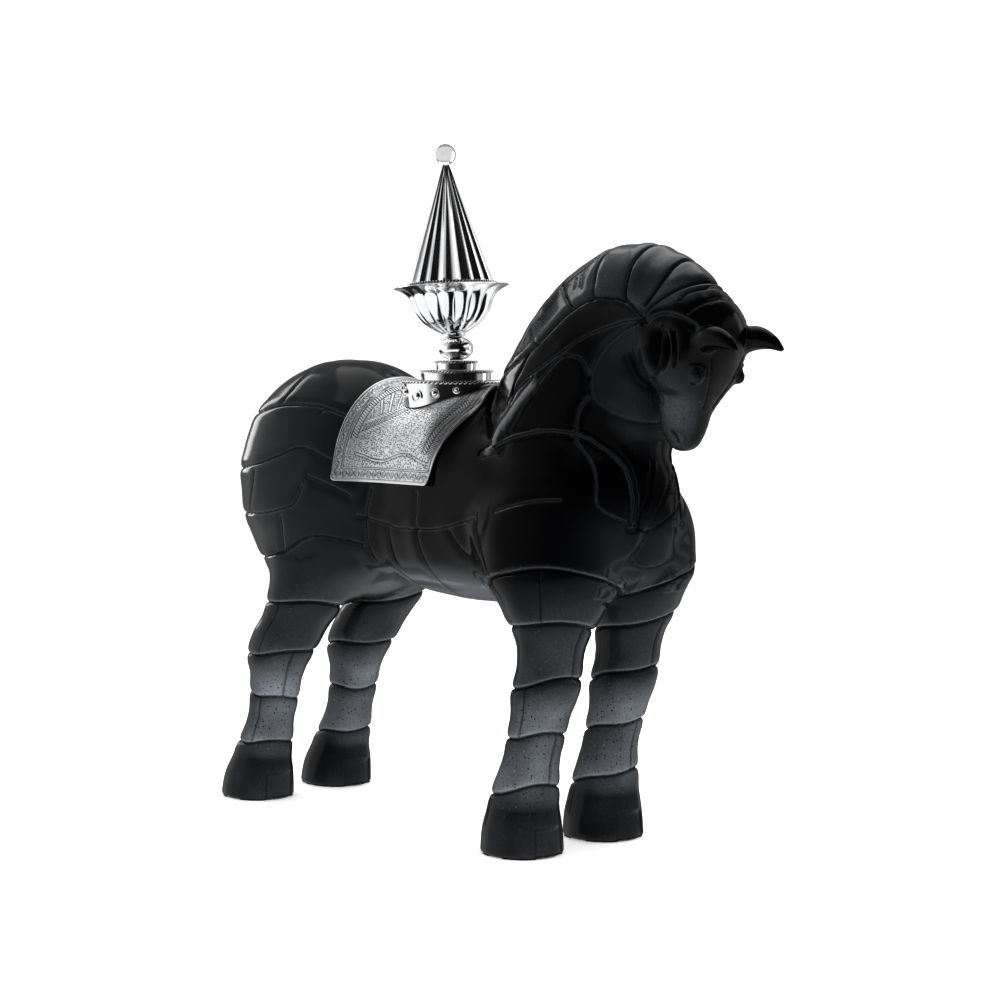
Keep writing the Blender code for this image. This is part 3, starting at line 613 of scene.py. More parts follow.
def egg(points, form):
    """Distance to an ellipsoid on both sides of the median plane."""
    centre, radii, power = form
    offset = [points[:, 0] - centre[0], np.abs(points[:, 1]) - centre[1], points[:, 2] - centre[2]]
    parts = [np.abs(o / r) for o, r in zip(offset, radii)]
    size = np.maximum(sum(p**power for p in parts) ** (1 / power), TINY)
    slope = np.sqrt(sum((p ** (power - 1) / r) ** 2 for p, r in zip(parts, radii))) / size ** (power - 1)
    return (size - 1) / np.maximum(slope, TINY)


def folded(points):
    """The points with both sides of the median plane laid on one."""
    return np.stack([points[:, 0], np.abs(points[:, 1]), points[:, 2]], 1)


def leg_section(rows, height):
    """A leg's centre x, centre y and two half widths at each height."""
    return through([row[1:] for row in rows], share_at([row[0] for row in rows], height)).T


def leg(points, rows):
    """Distance to an upright tapering leg on both sides of the median plane."""
    centre_x, centre_y, half_x, half_y = leg_section(rows, points[:, 2])
    dx = points[:, 0] - centre_x
    dy = np.abs(points[:, 1]) - centre_y
    size = np.sqrt((dx / half_x) ** 2 + (dy / half_y) ** 2)
    slope = np.sqrt((dx / half_x**2) ** 2 + (dy / half_y**2) ** 2) / np.maximum(size, TINY)
    flat = (size - 1) / np.maximum(slope, 1 / (2 * half_x))
    return np.maximum(np.maximum(flat, rows[0][0] - points[:, 2]), points[:, 2] - LEG_TOP)


def limb(points, rows, power=2.0, pieces=18):
    """Distance to an egg-sectioned limb in the median plane: rows of x, z, depth, width and taper."""
    nodes = through(rows, np.linspace(0, 1, pieces + 1))
    margin = nodes[:, 2].max() + 30
    low = nodes[:, :2].min(0) - margin
    high = nodes[:, :2].max(0) + margin
    flat = points[:, (0, 2)]
    near = np.all((flat > low) & (flat < high), axis=1)
    place = points[near]
    width = np.abs(place[:, 1])
    nearest = np.full(len(place), np.inf)
    for start, end in zip(nodes[:-1], nodes[1:]):
        run = end[:2] - start[:2]
        length = np.hypot(*run)
        from_x = place[:, 0] - start[0]
        from_z = place[:, 2] - start[1]
        along = np.clip((from_x * run[0] + from_z * run[1]) / length**2, 0, 1)
        off_x = from_x - along * run[0]
        off_z = from_z - along * run[1]
        depth, half, taper = (start[i] + along * (end[i] - start[i]) for i in (2, 3, 4))
        side = (off_z * run[0] - off_x * run[1]) / length
        half = half * (1 - taper * np.clip(side / depth, -1, 1))
        if power == 2.0:
            size = np.sqrt((off_x**2 + off_z**2) / depth**2 + (width / half) ** 2)
        else:
            size = ((np.hypot(off_x, off_z) / depth) ** power + (width / half) ** power) ** (1 / power)
        nearest = np.minimum(nearest, (size - 1) * np.minimum(depth, half))
    distance = np.full(len(points), FAR_OFF)
    distance[near] = nearest
    return distance


def horn(points, rows, pieces=28):
    """Distance to a round tapering rod through x, y, z points, each with its radius."""
    nodes = through(rows, np.linspace(0, 1, pieces + 1))
    near = (points[:, 0] > nodes[0, 0] - 40) & (points[:, 2] > nodes[:, 2].min() - 40)
    place = folded(points[near])
    nearest = np.full(len(place), np.inf)
    for start, end in zip(nodes[:-1], nodes[1:]):
        run = end[:3] - start[:3]
        along = np.clip((place - start[:3]) @ run / (run @ run), 0, 1)
        gap = np.linalg.norm(place - start[:3] - along[:, None] * run, axis=1)
        nearest = np.minimum(nearest, gap - (start[3] + along * (end[3] - start[3])))
    distance = np.full(len(points), FAR_OFF)
    distance[near] = nearest
    return distance


def ramp(value, start, end):
    """0 before the start and 1 past the end, with an even slope at both."""
    share = np.clip((value - start) / (end - start), 0, 1)
    return share * share * (3 - 2 * share)


def narrow_back(points):
    """The points spread sideways above the barrel, which narrows the back towards the withers."""
    rise = np.clip((points[:, 2] - BARREL[0][2]) / BARREL[1][2], 0, BACK_TAPER_TOP)
    spread = np.ones(points.shape)
    spread[:, 1] = 1 - BACK_TAPER * ramp(points[:, 0], *WITHERS) * rise**2
    return points / spread


def horse_distance(points):
    """Distance to the skin of the horse, in drawn units, less than zero inside."""
    body = blend(egg(points, RUMP), egg(narrow_back(points), BARREL), LOIN_BLEND)
    hind = blend(egg(points, THIGH), leg(points, HIND_LEG), HOCK_BLEND)
    fore = blend(egg(points, SHOULDER), leg(points, FRONT_LEG), ELBOW_BLEND)
    body = blend(blend(body, hind, THIGH_BLEND), fore, SHOULDER_BLEND)
    body = blend(body, egg(points, BREAST), BREAST_BLEND)
    body = blend(body, limb(points, NECK), NECK_BLEND)
    body = blend(body, limb(points, TAIL), TAIL_BLEND)
    head = blend(limb(points, HEAD, HEAD_SQUARENESS), egg(points, FORELOCK), FORELOCK_BLEND)
    body = blend(body, head, JAW_BLEND)
    body = blend(body, horn(points, EAR), EYE_BLEND)
    return blend(body, egg(points, EYE), EYE_BLEND)


def skin_normals(points, reach=0.4):
    steps = np.eye(3) * reach
    slope = np.stack([horse_distance(points + s) - horse_distance(points - s) for s in steps], 1)
    return slope / np.maximum(np.linalg.norm(slope, axis=1, keepdims=True), 1e-9)


def grown(blocks):
    """The marked blocks and every block beside one."""
    wide = np.pad(blocks, 1)
    found = np.zeros(blocks.shape, bool)
    x, y, z = blocks.shape
    for i in range(3):
        for j in range(3):
            for k in range(3):
                found |= wide[i : i + x, j : j + y, k : k + z]
    return found


def grid_values(axes):
    """The field on a grid. Away from the skin only its sign is right, which is all the net reads there."""
    coarse = np.stack(np.meshgrid(*(axis[::BLOCK] for axis in axes), indexing="ij"), -1)
    rough = horse_distance(coarse.reshape(-1, 3)).reshape(coarse.shape[:3])
    blocks = [n - 1 for n in rough.shape]
    x, y, z = blocks
    corners = [rough[i : i + x, j : j + y, k : k + z] for i in (0, 1) for j in (0, 1) for k in (0, 1)]
    lowest = np.min(corners, axis=0)
    highest = np.max(corners, axis=0)
    close = np.min(np.abs(corners), axis=0) < NET_STEP * BLOCK * 0.6
    near = grown((lowest < 0) & (highest > 0) | close)
    index = [np.minimum(np.arange(len(axis)) // BLOCK, n - 1) for axis, n in zip(axes, blocks)]
    spot = np.ix_(*index)
    value = corners[0][spot].copy()
    chosen = near[spot]
    grid = np.stack(np.meshgrid(*axes, indexing="ij"), -1)
    value[chosen] = horse_distance(grid[chosen])
    return value


def grid_axis(start, end):
    """Grid lines from start past end, one more than a whole number of blocks."""
    count = math.ceil((end - start) / NET_STEP / BLOCK) * BLOCK
    return start + np.arange(count + 1) * NET_STEP


def net_over_horse():
    """Points and four-sided faces over the skin, one point in each grid cell that the skin crosses."""
    axes = [grid_axis(*GRID_LENGTH), grid_axis(-NET_STEP, GRID_HALF_WIDTH), grid_axis(*GRID_HEIGHT)]
    right = grid_values(axes)[:, 1:]
    value = np.concatenate([right[:, :0:-1], right], 1)
    origin = np.array([axes[0][0], -axes[1][-1], axes[2][0]])
    inside = value < 0
    corners = [(i, j, k) for i in (0, 1) for j in (0, 1) for k in (0, 1)]
    cells = [n - 1 for n in value.shape]
    count = sum(
        inside[i : i + cells[0], j : j + cells[1], k : k + cells[2]].astype(int) for i, j, k in corners
    )
    cell = np.argwhere((count > 0) & (count < 8))
    total = np.zeros((len(cell), 3))
    hits = np.zeros(len(cell))
    for a in corners:
        for axis in range(3):
            if a[axis]:
                continue
            b = list(a)
            b[axis] = 1
            va = value[tuple((cell + a).T)]
            vb = value[tuple((cell + b).T)]
            cross = (va < 0) != (vb < 0)
            place = np.array(a, float) + np.zeros((len(cell), 3))
            place[:, axis] = np.where(cross, va / np.where(cross, va - vb, 1), 0)
            total += place * cross[:, None]
            hits += cross
    points = origin + (cell + total / hits[:, None]) * NET_STEP
    number = np.full(cells, -1)
    number[tuple(cell.T)] = np.arange(len(cell))
    faces = []
    for axis in range(3):
        one, two = [(1, 2), (2, 0), (0, 1)][axis]
        low = [slice(1, None)] * 3
        low[axis] = slice(0, -1)
        high = list(low)
        high[axis] = slice(1, None)
        flip = np.argwhere(inside[tuple(low)] != inside[tuple(high)])
        flip[:, one] += 1
        flip[:, two] += 1
        turn = np.eye(3, dtype=int)[one]
        other = np.eye(3, dtype=int)[two]
        quad = np.stack([number[tuple((flip - d).T)] for d in (turn + other, other, 0 * turn, turn)], 1)
        outward = inside[tuple(flip.T)]
        quad[~outward] = quad[~outward][:, ::-1]
        faces.append(quad)
    return points, np.concatenate(faces)


def triangles_of(points, quads):
    """Each four-sided face cut in two along its shorter diagonal."""
    a, b, c, d = (points[quads[:, i]] for i in range(4))
    first = np.linalg.norm(a - c, axis=1) <= np.linalg.norm(b - d, axis=1) + 1e-6
    one = np.where(first[:, None], quads[:, (0, 1, 2)], quads[:, (1, 2, 3)])
    two = np.where(first[:, None], quads[:, (2, 3, 0)], quads[:, (3, 0, 1)])
    return np.concatenate([one, two])


def refined(points, triangles, chosen):
    """The net with the chosen triangles cut in four and their neighbours cut to match."""
    ends = np.stack([triangles, np.roll(triangles, -1, axis=1)], -1)
    ends.sort(axis=-1)
    key = ends[..., 0].astype(np.int64) * len(points) + ends[..., 1]
    split = np.unique(key[chosen])
    spot = np.minimum(np.searchsorted(split, key), len(split) - 1)
    cut = split[spot] == key
    middle = len(points) + spot
    amount = cut.sum(1)
    last_cut = np.where(amount == 1, np.argmax(cut, axis=1), 0)
    last_cut = np.where(amount == 2, (np.argmin(cut, axis=1) + 1) % 3, last_cut)
    order = (last_cut[:, None] + np.arange(3)) % 3
    a, b, c = np.take_along_axis(triangles, order, axis=1).T
    ab, bc, ca = np.take_along_axis(middle, order, axis=1).T
    made = [triangles[amount == 0]]
    for number, corners in (
        (1, ((a, ab, c), (ab, b, c))),
        (2, ((ab, b, bc), (a, ab, bc), (a, bc, c))),
        (3, ((a, ab, ca), (ab, b, bc), (ca, bc, c), (ab, bc, ca))),
    ):
        here = amount == number
        made += [np.stack([corner[here] for corner in face], 1) for face in corners]
    added = (points[split // len(points)] + points[split % len(points)]) / 2
    return np.concatenate([points, added]), np.concatenate(made)


def one_side(points):
    """The points of one side, each once, and the number that each point has among them."""
    keys = np.round(folded(points), 3)
    found, first, number = np.unique(keys, axis=0, return_index=True, return_inverse=True)
    return folded(points[first]), number.reshape(-1)


def both_sides(side, number, points):
    """One side's points put back on both sides."""
    full = side[number].copy()
    full[:, 1] *= np.where(points[:, 1] < 0, -1, 1)
    return full


def on_skin(points, rounds=2):
    """The points moved along the slope of the field until they lie on the skin."""
    for _ in range(rounds):
        points = points - skin_normals(points) * horse_distance(points)[:, None]
    return points


def bell(distance, width):
    return np.exp(-((distance / width) ** 2))


def groove(distance, depth):
    """A rounded seam between two swelling plates: how far the skin moves at a distance from its line."""
    cut = -depth * (0.5 * bell(distance, SEAM_WIDTH) + 0.6 * bell(distance, SEAM_CORE))
    return cut + PILLOW_RISE * depth * bell(np.abs(distance) - PILLOW_WIDTH, PILLOW_WIDTH)


def line_distance(flat, slopes, outline, pieces=16):
    """Distance over the skin to a line on a flat view of it. The slopes are the normals in that view."""
    nodes = through(outline, np.linspace(0, 1, pieces + 1))
    best = np.full(len(flat), np.inf)
    away = np.zeros((len(flat), 2))
    for start, end in zip(nodes[:-1], nodes[1:]):
        run = end - start
        offset = flat - start
        along = np.clip(offset @ run / (run @ run), 0, 1)
        offset = offset - along[:, None] * run
        gap = np.hypot(offset[:, 0], offset[:, 1])
        near = gap < best
        best[near] = gap[near]
        away[near] = offset[near]
    facing = np.sum(away * slopes, axis=1) / np.maximum(best, TINY)
    return best / np.sqrt(np.maximum(1 - facing**2, SEAM_SLOPE))


def near_line(flat, slopes, outline, reach=SEAM_REACH, only=True):
    """Which points of a flat view are close to a line, and how far they are from it over the skin."""
    low = np.min(outline, axis=0) - reach
    high = np.max(outline, axis=0) + reach
    near = np.all((flat > low) & (flat < high), axis=1) & only
    return near, line_distance(flat[near], slopes[near], outline)


def oval_share(flat, oval, start, end):
    """1 inside an oval, given by its centre and half sizes, and 0 outside it."""
    centre, half = oval
    return 1 - ramp(np.hypot(*((flat - centre) / half).T), start, end)


def off_ear(points):
    """0 on the ears and 1 away from them."""
    return ramp(horn(points, EAR), *EAR_CLEAR)


def leg_levels(angle, rings):
    """The heights of the wavy seams around a leg at each turn, from the top one down."""
    wave = RING_WAVE * np.sin(3 * angle)
    return [h + front * np.cos(angle) + outer * np.sin(angle) + wave for h, front, outer in rings]


def leg_carving(points, rows, rings, band_angles):
    """The seams around one pair of legs, the upright ones, the hoof's edge and how near they are."""
    x, y, z = folded(points).T
    centre_x, centre_y, half_x, half_y = leg_section(rows, z)
    angle = np.arctan2(y - centre_y, x - centre_x)
    size = np.hypot((x - centre_x) / half_x, (y - centre_y) / half_y)
    on_leg = (size < LEG_SEAM_SIZE) & (z < rings[0][0] + LEG_SEAM_HEIGHT)
    move = np.zeros(len(points))
    levels = leg_levels(angle, rings)
    gap = np.full(len(points), np.inf)
    for level in levels:
        move += groove(z - level, RING_DEPTH)
        gap = np.minimum(gap, np.abs(z - level))
    for upper, lower, turn in zip(levels[:-1], levels[1:], band_angles):
        across = (angle - math.radians(turn)) * half_x
        fade = np.clip(np.minimum(upper - z, z - lower) / BAND_FADE, 0, 1)
        move -= BAND_SEAM_DEPTH * fade * bell(across, 0.75 * SEAM_WIDTH)
        gap = np.minimum(gap, np.where(fade > 0, np.abs(across) + 0.4, np.inf))
    side = (np.abs(angle) - math.radians(HOOF_HALF_ANGLE)) * half_x
    edge = np.maximum(z - HOOF_HEIGHT, side)
    move -= HOOF_DEPTH / 2 * (1 - np.tanh(edge / (2 * HOOF_SOFTNESS)))
    gap = np.minimum(gap, np.abs(edge) + 0.3)
    return np.where(on_leg, move, 0), np.where(on_leg, gap, np.inf)


def around_eye(points):
    """Each point's place from the eye, its distance, and 1 over the front and upper part of the lids."""
    off = folded(points) - LID_CENTRE
    turn = np.arctan2(off[:, 2], off[:, 0])
    return off, np.linalg.norm(off, axis=1), ramp(np.cos(turn - LID_TURN), -LID_ARC, LID_ARC)


def head_carving(points):
    """The hollows of the head, the eyelids and how near they are."""
    flat = points[:, (0, 2)]
    move = np.zeros(len(points))
    gap = np.full(len(points), np.inf)
    for centre, half, depth in HOLLOWS:
        size = np.hypot(*((flat - centre) / half).T)
        move -= depth * (1 - ramp(size, *HOLLOW_EDGE))
        gap = np.minimum(gap, np.abs(size - HOLLOW_RIM) * min(half))
    off, reach, arc = around_eye(points)
    opening = ramp(-off[:, 0] / np.maximum(reach, TINY), LID_OPENING - LID_SOFTNESS, LID_OPENING)
    for radius, width, depth in LID_ROUNDS:
        move -= depth * bell(reach - radius, width) * (1 - opening) * arc
    gap = np.minimum(gap, np.maximum(reach - LID_REACH, 0))
    outer = np.abs(points[:, 1]) > FACE_HALF_WIDTH
    gap = np.where(outer, gap, np.inf)
    gap = np.where(np.all(flat > FINE_HEAD, axis=1), np.minimum(gap, HEAD_GAP), gap)
    ear = np.all(folded(points) > FINE_EAR, axis=1)
    return np.where(outer, move, 0), np.where(ear, np.minimum(gap, EAR_GAP), gap)


def carving(points, normals):
    """How far every seam and cut moves the skin along its normal, and how near the closest one is."""
    move = np.zeros(len(points))
    gap = np.full(len(points), np.inf)
    flat = points[:, (0, 2)]
    slopes = normals[:, (0, 2)]
    for outline, depth in SEAMS:
        near, distance = near_line(flat, slopes, outline)
        move[near] += groove(distance, depth)
        gap[near] = np.minimum(gap[near], distance)
    near, distance = near_line(flat, slopes, BEAD)
    place, width, depth = BEAD_CUT
    move[near] += BEAD_HEIGHT * bell(distance, BEAD_WIDTH) - depth * bell(distance - place, width)
    gap[near] = np.minimum(gap[near], np.maximum(distance - 3, 0))
    for outline, width, depth in CUTS:
        near, distance = near_line(flat, slopes, outline, 3 * width + CUT_REACH - 2)
        move[near] -= depth * bell(distance, width)
        gap[near] = np.minimum(gap[near], distance)
    move = np.where((points[:, 2] < BODY_SEAM_FOOT) & (move > 0), move / 2, move)
    for part in [leg_carving(points, *pair) for pair in LEG_PAIRS] + [head_carving(points)]:
        move += part[0]
        gap = np.minimum(gap, part[1])
    move *= off_ear(points)
    foot = np.clip(FOOT_ROUNDING - points[:, 2], 0, FOOT_ROUNDING)
    move -= FOOT_ROUNDING - np.sqrt(FOOT_ROUNDING**2 - foot**2)
    gap = np.where(points[:, 2] < FOOT_ROUNDING + 2, 1, gap)
    return move, gap


def front_carving(points, normals):
    """How far the cuts over the breast move the skin. They are drawn from the front and differ by side."""
    move = np.zeros(len(points))
    flat = points[:, (1, 2)]
    slopes = normals[:, (1, 2)]
    ahead = (points[:, 0] > FRONT_START) & (normals[:, 0] > 0.15)
    for outline, width, depth in FRONT_CUTS:
        near, distance = near_line(flat, slopes, outline, CUT_REACH, ahead)
        move[near] -= depth * bell(distance, width)
    return move * off_ear(points)


def horse_net():
    """The carved skin of the horse as points and triangles, finer close to the seams and cuts."""
    points, quads = net_over_horse()
    triangles = triangles_of(points, quads)
    for reach in REFINED_WITHIN:
        side, number = one_side(points)
        side = on_skin(side, 1)
        gap = carving(side, skin_normals(side))[1]
        breast = (side[:, 0] > FRONT_START) & (side[:, 2] > FRONT_RANGE[0]) & (side[:, 2] < FRONT_RANGE[1])
        gap = np.where(breast, np.minimum(gap, BREAST_REACH), gap)
        points = both_sides(side, number, points)
        points, triangles = refined(points, triangles, (gap[number] < reach)[triangles].any(axis=1))
    side, number = one_side(points)
    side = on_skin(side, 1)
    normals = skin_normals(side)
    move = carving(side, normals)[0][number]
    points = both_sides(side, number, points)
    normals = both_sides(normals, number, points)
    move += front_carving(points, normals)
    return points + normals * move[:, None], triangles


def mesh_piece(name, points, faces, material, sharp=40.0):
    """One object from points in the drawing's frame, in metres, and faces."""
    mesh = bpy.data.meshes.new(name)
    placed = [(p[0] + SHIFT, p[1], p[2]) for p in points]
    mesh.from_pydata(placed, [], [tuple(int(i) for i in face) for face in faces])
    mesh.validate()
    made = bmesh.new()
    made.from_mesh(mesh)
    bmesh.ops.recalc_face_normals(made, faces=made.faces)
    made.to_mesh(mesh)
    made.free()
    mesh.materials.append(material)
    mesh.shade_smooth()
    mesh.set_sharp_from_angle(angle=math.radians(sharp))
    thing = bpy.data.objects.new(name, mesh)
    bpy.context.scene.collection.objects.link(thing)
    return thing


def settled(thing):
    """The object with its modifiers turned into plain mesh."""
    seen = thing.evaluated_get(bpy.context.evaluated_depsgraph_get())
    mesh = bpy.data.meshes.new_from_object(seen)
    thing.modifiers.clear()
    thing.data = mesh


def stands_for(thing, node):
    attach(thing, "root")
    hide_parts(node)
    return thing


def plain_material(name, colour, roughness, metallic=0.0):
    made = bpy.data.materials.new(name)
    made.use_nodes = True
    shader = made.node_tree.nodes["Principled BSDF"]
    shader.inputs["Base Color"].default_value = (*colour, 1)
    shader.inputs["Roughness"].default_value = roughness
    shader.inputs["Metallic"].default_value = metallic
    return made


class Wiring:
    """Short ways to add nodes to a material or the world. Values are sockets or plain numbers."""

    def __init__(self, tree):
        self.tree = tree
        self.shader = tree.nodes.get("Principled BSDF")

    def add(self, kind, settings=None, **values):
        node = self.tree.nodes.new(kind)
        for key, value in (settings or {}).items():
            setattr(node, key, value)
        for key, value in values.items():
            self.put(node.inputs[key.replace("_", " ")], value)
        return node

    def put(self, socket, value):
        if isinstance(value, bpy.types.NodeSocket):
            self.tree.links.new(value, socket)
        else:
            socket.default_value = value

    def math(self, operation, first, second=0.0):
        node = self.tree.nodes.new("ShaderNodeMath")
        node.operation = operation
        self.put(node.inputs[0], first)
        self.put(node.inputs[1], second)
        return node.outputs[0]

    def span(self, value, low, high, start=0.0, end=1.0):
        """The value mapped from low and high to start and end, and held there outside."""
        node = self.add("ShaderNodeMapRange", Value=value, From_Min=low, From_Max=high)
        self.put(node.inputs["To Min"], start)
        self.put(node.inputs["To Max"], end)
        return node.outputs["Result"]

    def product(self, *values):
        """Any count of values multiplied together."""
        total = values[0]
        for value in values[1:]:
            total = self.math("MULTIPLY", total, value)
        return total

    def but(self, value, share=1.0):
        """One less the value, or less a share of it."""
        return self.math("SUBTRACT", 1.0, value if share == 1.0 else self.math("MULTIPLY", value, share))

    def along(self, direction, way, turn=0.0):
        """How far a direction runs along a level way that is turned around the upright axis."""
        turned_way = way.copy()
        turned_way.rotate(Matrix.Rotation(turn, 3, "Z"))
        node = self.add("ShaderNodeVectorMath", {"operation": "DOT_PRODUCT"})
        self.put(node.inputs[0], direction)
        self.put(node.inputs[1], turned_way)
        return node.outputs["Value"]

    def background(self, colour, strength):
        return self.add("ShaderNodeBackground", Color=colour, Strength=strength).outputs["Background"]

    def chosen(self, share, first, second):
        """The first light where the share is 0 and the second where it is 1."""
        node = self.tree.nodes.new("ShaderNodeMixShader")
        for socket, value in zip(node.inputs, (share, first, second)):
            self.put(socket, value)
        return node.outputs["Shader"]

    def mix(self, share, first, second):
        """Two colours, or sockets of colours, mixed by a share."""
        node = self.tree.nodes.new("ShaderNodeMix")
        node.data_type = "RGBA"
        self.put(node.inputs["Factor"], share)
        sockets = [s for s in node.inputs if s.type == "RGBA"]
        for socket, value in zip(sockets, (first, second)):
            self.put(socket, value)
        return next(s for s in node.outputs if s.type == "RGBA")

    def attribute(self, name):
        return self.add("ShaderNodeAttribute", {"attribute_name": name}).outputs["Fac"]

    def noise(self, place, scale, detail=3.0):
        return self.add("ShaderNodeTexNoise", Vector=place, Scale=scale, Detail=detail).outputs["Fac"]

    def bumped(self, height, distance, strength=1.0):
        node = self.add("ShaderNodeBump", Height=height, Distance=distance, Strength=strength)
        self.put(self.shader.inputs["Normal"], node.outputs["Normal"])

    def colour(self, value):
        self.put(self.shader.inputs["Base Color"], value)

    def roughness(self, value):
        self.put(self.shader.inputs["Roughness"], value)


def frost_share(w, x, z, cloud):
    """How frosted the skin is: below the knees, over the muzzle and a little in the mane, where it is
    painted reflection.
    """
    level = w.math("ADD", z, w.math("MULTIPLY", w.math("SUBTRACT", cloud, 0.5), FROST_DRIFT))
    thin = w.span(level, *FROST_TOP[:2], 0.0, FROST_TOP[2])
    low = w.math("ADD", thin, w.span(level, *FROST_FULL[:2], 0.0, FROST_FULL[2]))
    ahead = w.math("SUBTRACT", x, MUZZLE[0] * UNIT + SHIFT)
    across = w.math("SUBTRACT", z, MUZZLE[1] * UNIT)
    reach = w.math("SQRT", w.math("ADD", w.math("POWER", ahead, 2.0), w.math("POWER", across, 2.0)))
    muzzle = w.span(reach, MUZZLE[3] * UNIT, MUZZLE[2] * UNIT)
    hoof = w.span(z, HOOF_TOP[0] * UNIT, HOOF_TOP[1] * UNIT, HOOF_FROST, 1.0)
    frost = w.math("MAXIMUM", w.product(low, hoof), w.product(muzzle, MUZZLE_FROST))
    return w.math("MAXIMUM", frost, w.product(w.attribute("mane"), MANE_PAINTED_REFLECTION))


def frost_light(w, frost, cloud, grain):
    """How pale the skin is where it is frosted, which is partly painted light, with painted shade at its
    edges and in the leg bands, painted light over the flank, cheek, belly and breast, and painted highlights
    beside the seams and in the glints.
    """
    # Painted shade on the frost where the skin turns away from the view
    facing = w.add("ShaderNodeLayerWeight", Blend=0.35).outputs["Facing"]
    edge = w.but(w.math("POWER", facing, 1.5), EDGE_SHADE)
    # The frost's pale veil: partly the frosted glass's own tone, partly painted light from the floor below
    veil = w.product(w.span(grain, *NOISE_RANGE, 0.8, 1.2), w.span(cloud, *NOISE_RANGE, *VEIL))
    # Painted shade under each leg band's upper seam and painted light towards its foot
    veil = w.product(veil, w.span(w.attribute("band"), 0.1, 0.9, BAND_SHADE, BAND_LIGHT))
    light = w.math("MULTIPLY", frost, w.product(veil, edge))
    # Painted light over the flank, cheek, belly and breast
    light = w.math("ADD", light, w.product(w.attribute("painted_light"), w.but(frost), VEIL[1]))
    # Painted highlights beside the seams and on the leg bands' lips
    seam = w.product(w.attribute("seam"), SEAM_LIGHT, w.but(w.attribute("mane")))
    light = w.math("ADD", light, seam)
    # Painted highlights along the withers and the crest's top
    return w.math("ADD", light, w.product(w.attribute("glint"), GLINT_LIGHT))


def bubble_dots(w, place, frost):
    """Small bubbles near the frosted skin, and which of them are pale."""
    bubbles = w.add("ShaderNodeTexVoronoi", Vector=place, Scale=BUBBLE_SCALE)
    kind = w.add("ShaderNodeSeparateColor", Color=bubbles.outputs["Color"])
    size = w.span(kind.outputs[0], *BUBBLE_SIZES)
    dot = w.span(w.math("SUBTRACT", size, bubbles.outputs["Distance"]), 0.0, 0.03)
    return w.product(dot, frost), w.math("GREATER_THAN", kind.outputs[1], 0.8)


def black_crystal():
    """Near-black glass, polished above and frosted below, with small bubbles near the skin and painted
    light, highlights and shade in its colour.
    """
    made = plain_material("black_crystal", BLACK, 0.2)
    w = Wiring(made.node_tree)
    place = w.add("ShaderNodeTexCoord").outputs["Object"]
    parts = w.add("ShaderNodeSeparateXYZ", Vector=place).outputs
    cloud = w.noise(place, CRYSTAL_CLOUD_SCALE, 1.0)
    frost = frost_share(w, parts[0], parts[2], cloud)
    light = frost_light(w, frost, cloud, w.noise(place, CRYSTAL_GRAIN_SCALE, 2.0))
    dot, pale = bubble_dots(w, place, frost)
    light = w.product(light, w.but(dot))
    light = w.math("ADD", light, w.product(dot, pale, BUBBLE_LIGHT))
    # Painted shade in seams, cuts and hollows, which also takes their gloss away
    hollow = w.attribute("hollow")
    light = w.product(light, w.but(hollow, HOLLOW_SHADE))
    w.colour(w.mix(light, (*BLACK, 1), (*FROST_COLOUR, 1)))
    polish = w.span(cloud, *NOISE_RANGE, *BODY_ROUGHNESS)
    w.roughness(w.math("ADD", w.product(frost, FROST_ROUGHNESS), polish))
    gloss = w.math("ADD", BODY_GLOSS, w.product(frost, FROST_GLOSS - BODY_GLOSS))
    gloss = w.product(gloss, w.but(w.attribute("quiet"), QUIET_SHADE))
    gloss = w.math("ADD", gloss, w.product(w.attribute("glint"), GLINT_GLOSS))
    w.put(w.shader.inputs["Specular IOR Level"], w.product(gloss, w.but(hollow)))
    relief = w.product(w.noise(place, FROST_RELIEF_SCALE), w.product(frost, FROST_RELIEF))
    w.bumped(w.math("SUBTRACT", relief, dot), 0.0003, 0.6)
    return made


def polished_silver():
    """Bright silver with the faint waves and hairlines of hand polishing."""
    made = plain_material("polished_silver", SILVER, 0.08, 1.0)
    w = Wiring(made.node_tree)
    place = w.add("ShaderNodeTexCoord").outputs["Object"]
    cloud = w.noise(place, SILVER_CLOUD_SCALE, 4.0)
    stretched = w.add("ShaderNodeMapping", Vector=place, Scale=HAIRLINE_SCALE).outputs["Vector"]
    hair = w.noise(stretched, 1.0, 4.0)
    bright = w.mix(w.span(cloud, 0.35, 0.7), SILVER_PALE, SILVER_CLOUDED)
    w.colour(w.mix(w.span(w.attribute("recess"), 0.0, 0.55), bright, SILVER_RECESS))
    polish = w.span(cloud, *NOISE_RANGE, *SILVER_ROUGHNESS)
    w.roughness(w.math("ADD", polish, w.product(hair, HAIRLINE_ROUGHNESS)))
    w.bumped(w.math("ADD", w.math("MULTIPLY", cloud, 0.7), w.math("MULTIPLY", hair, 0.3)), 0.00012, 0.5)
    return made


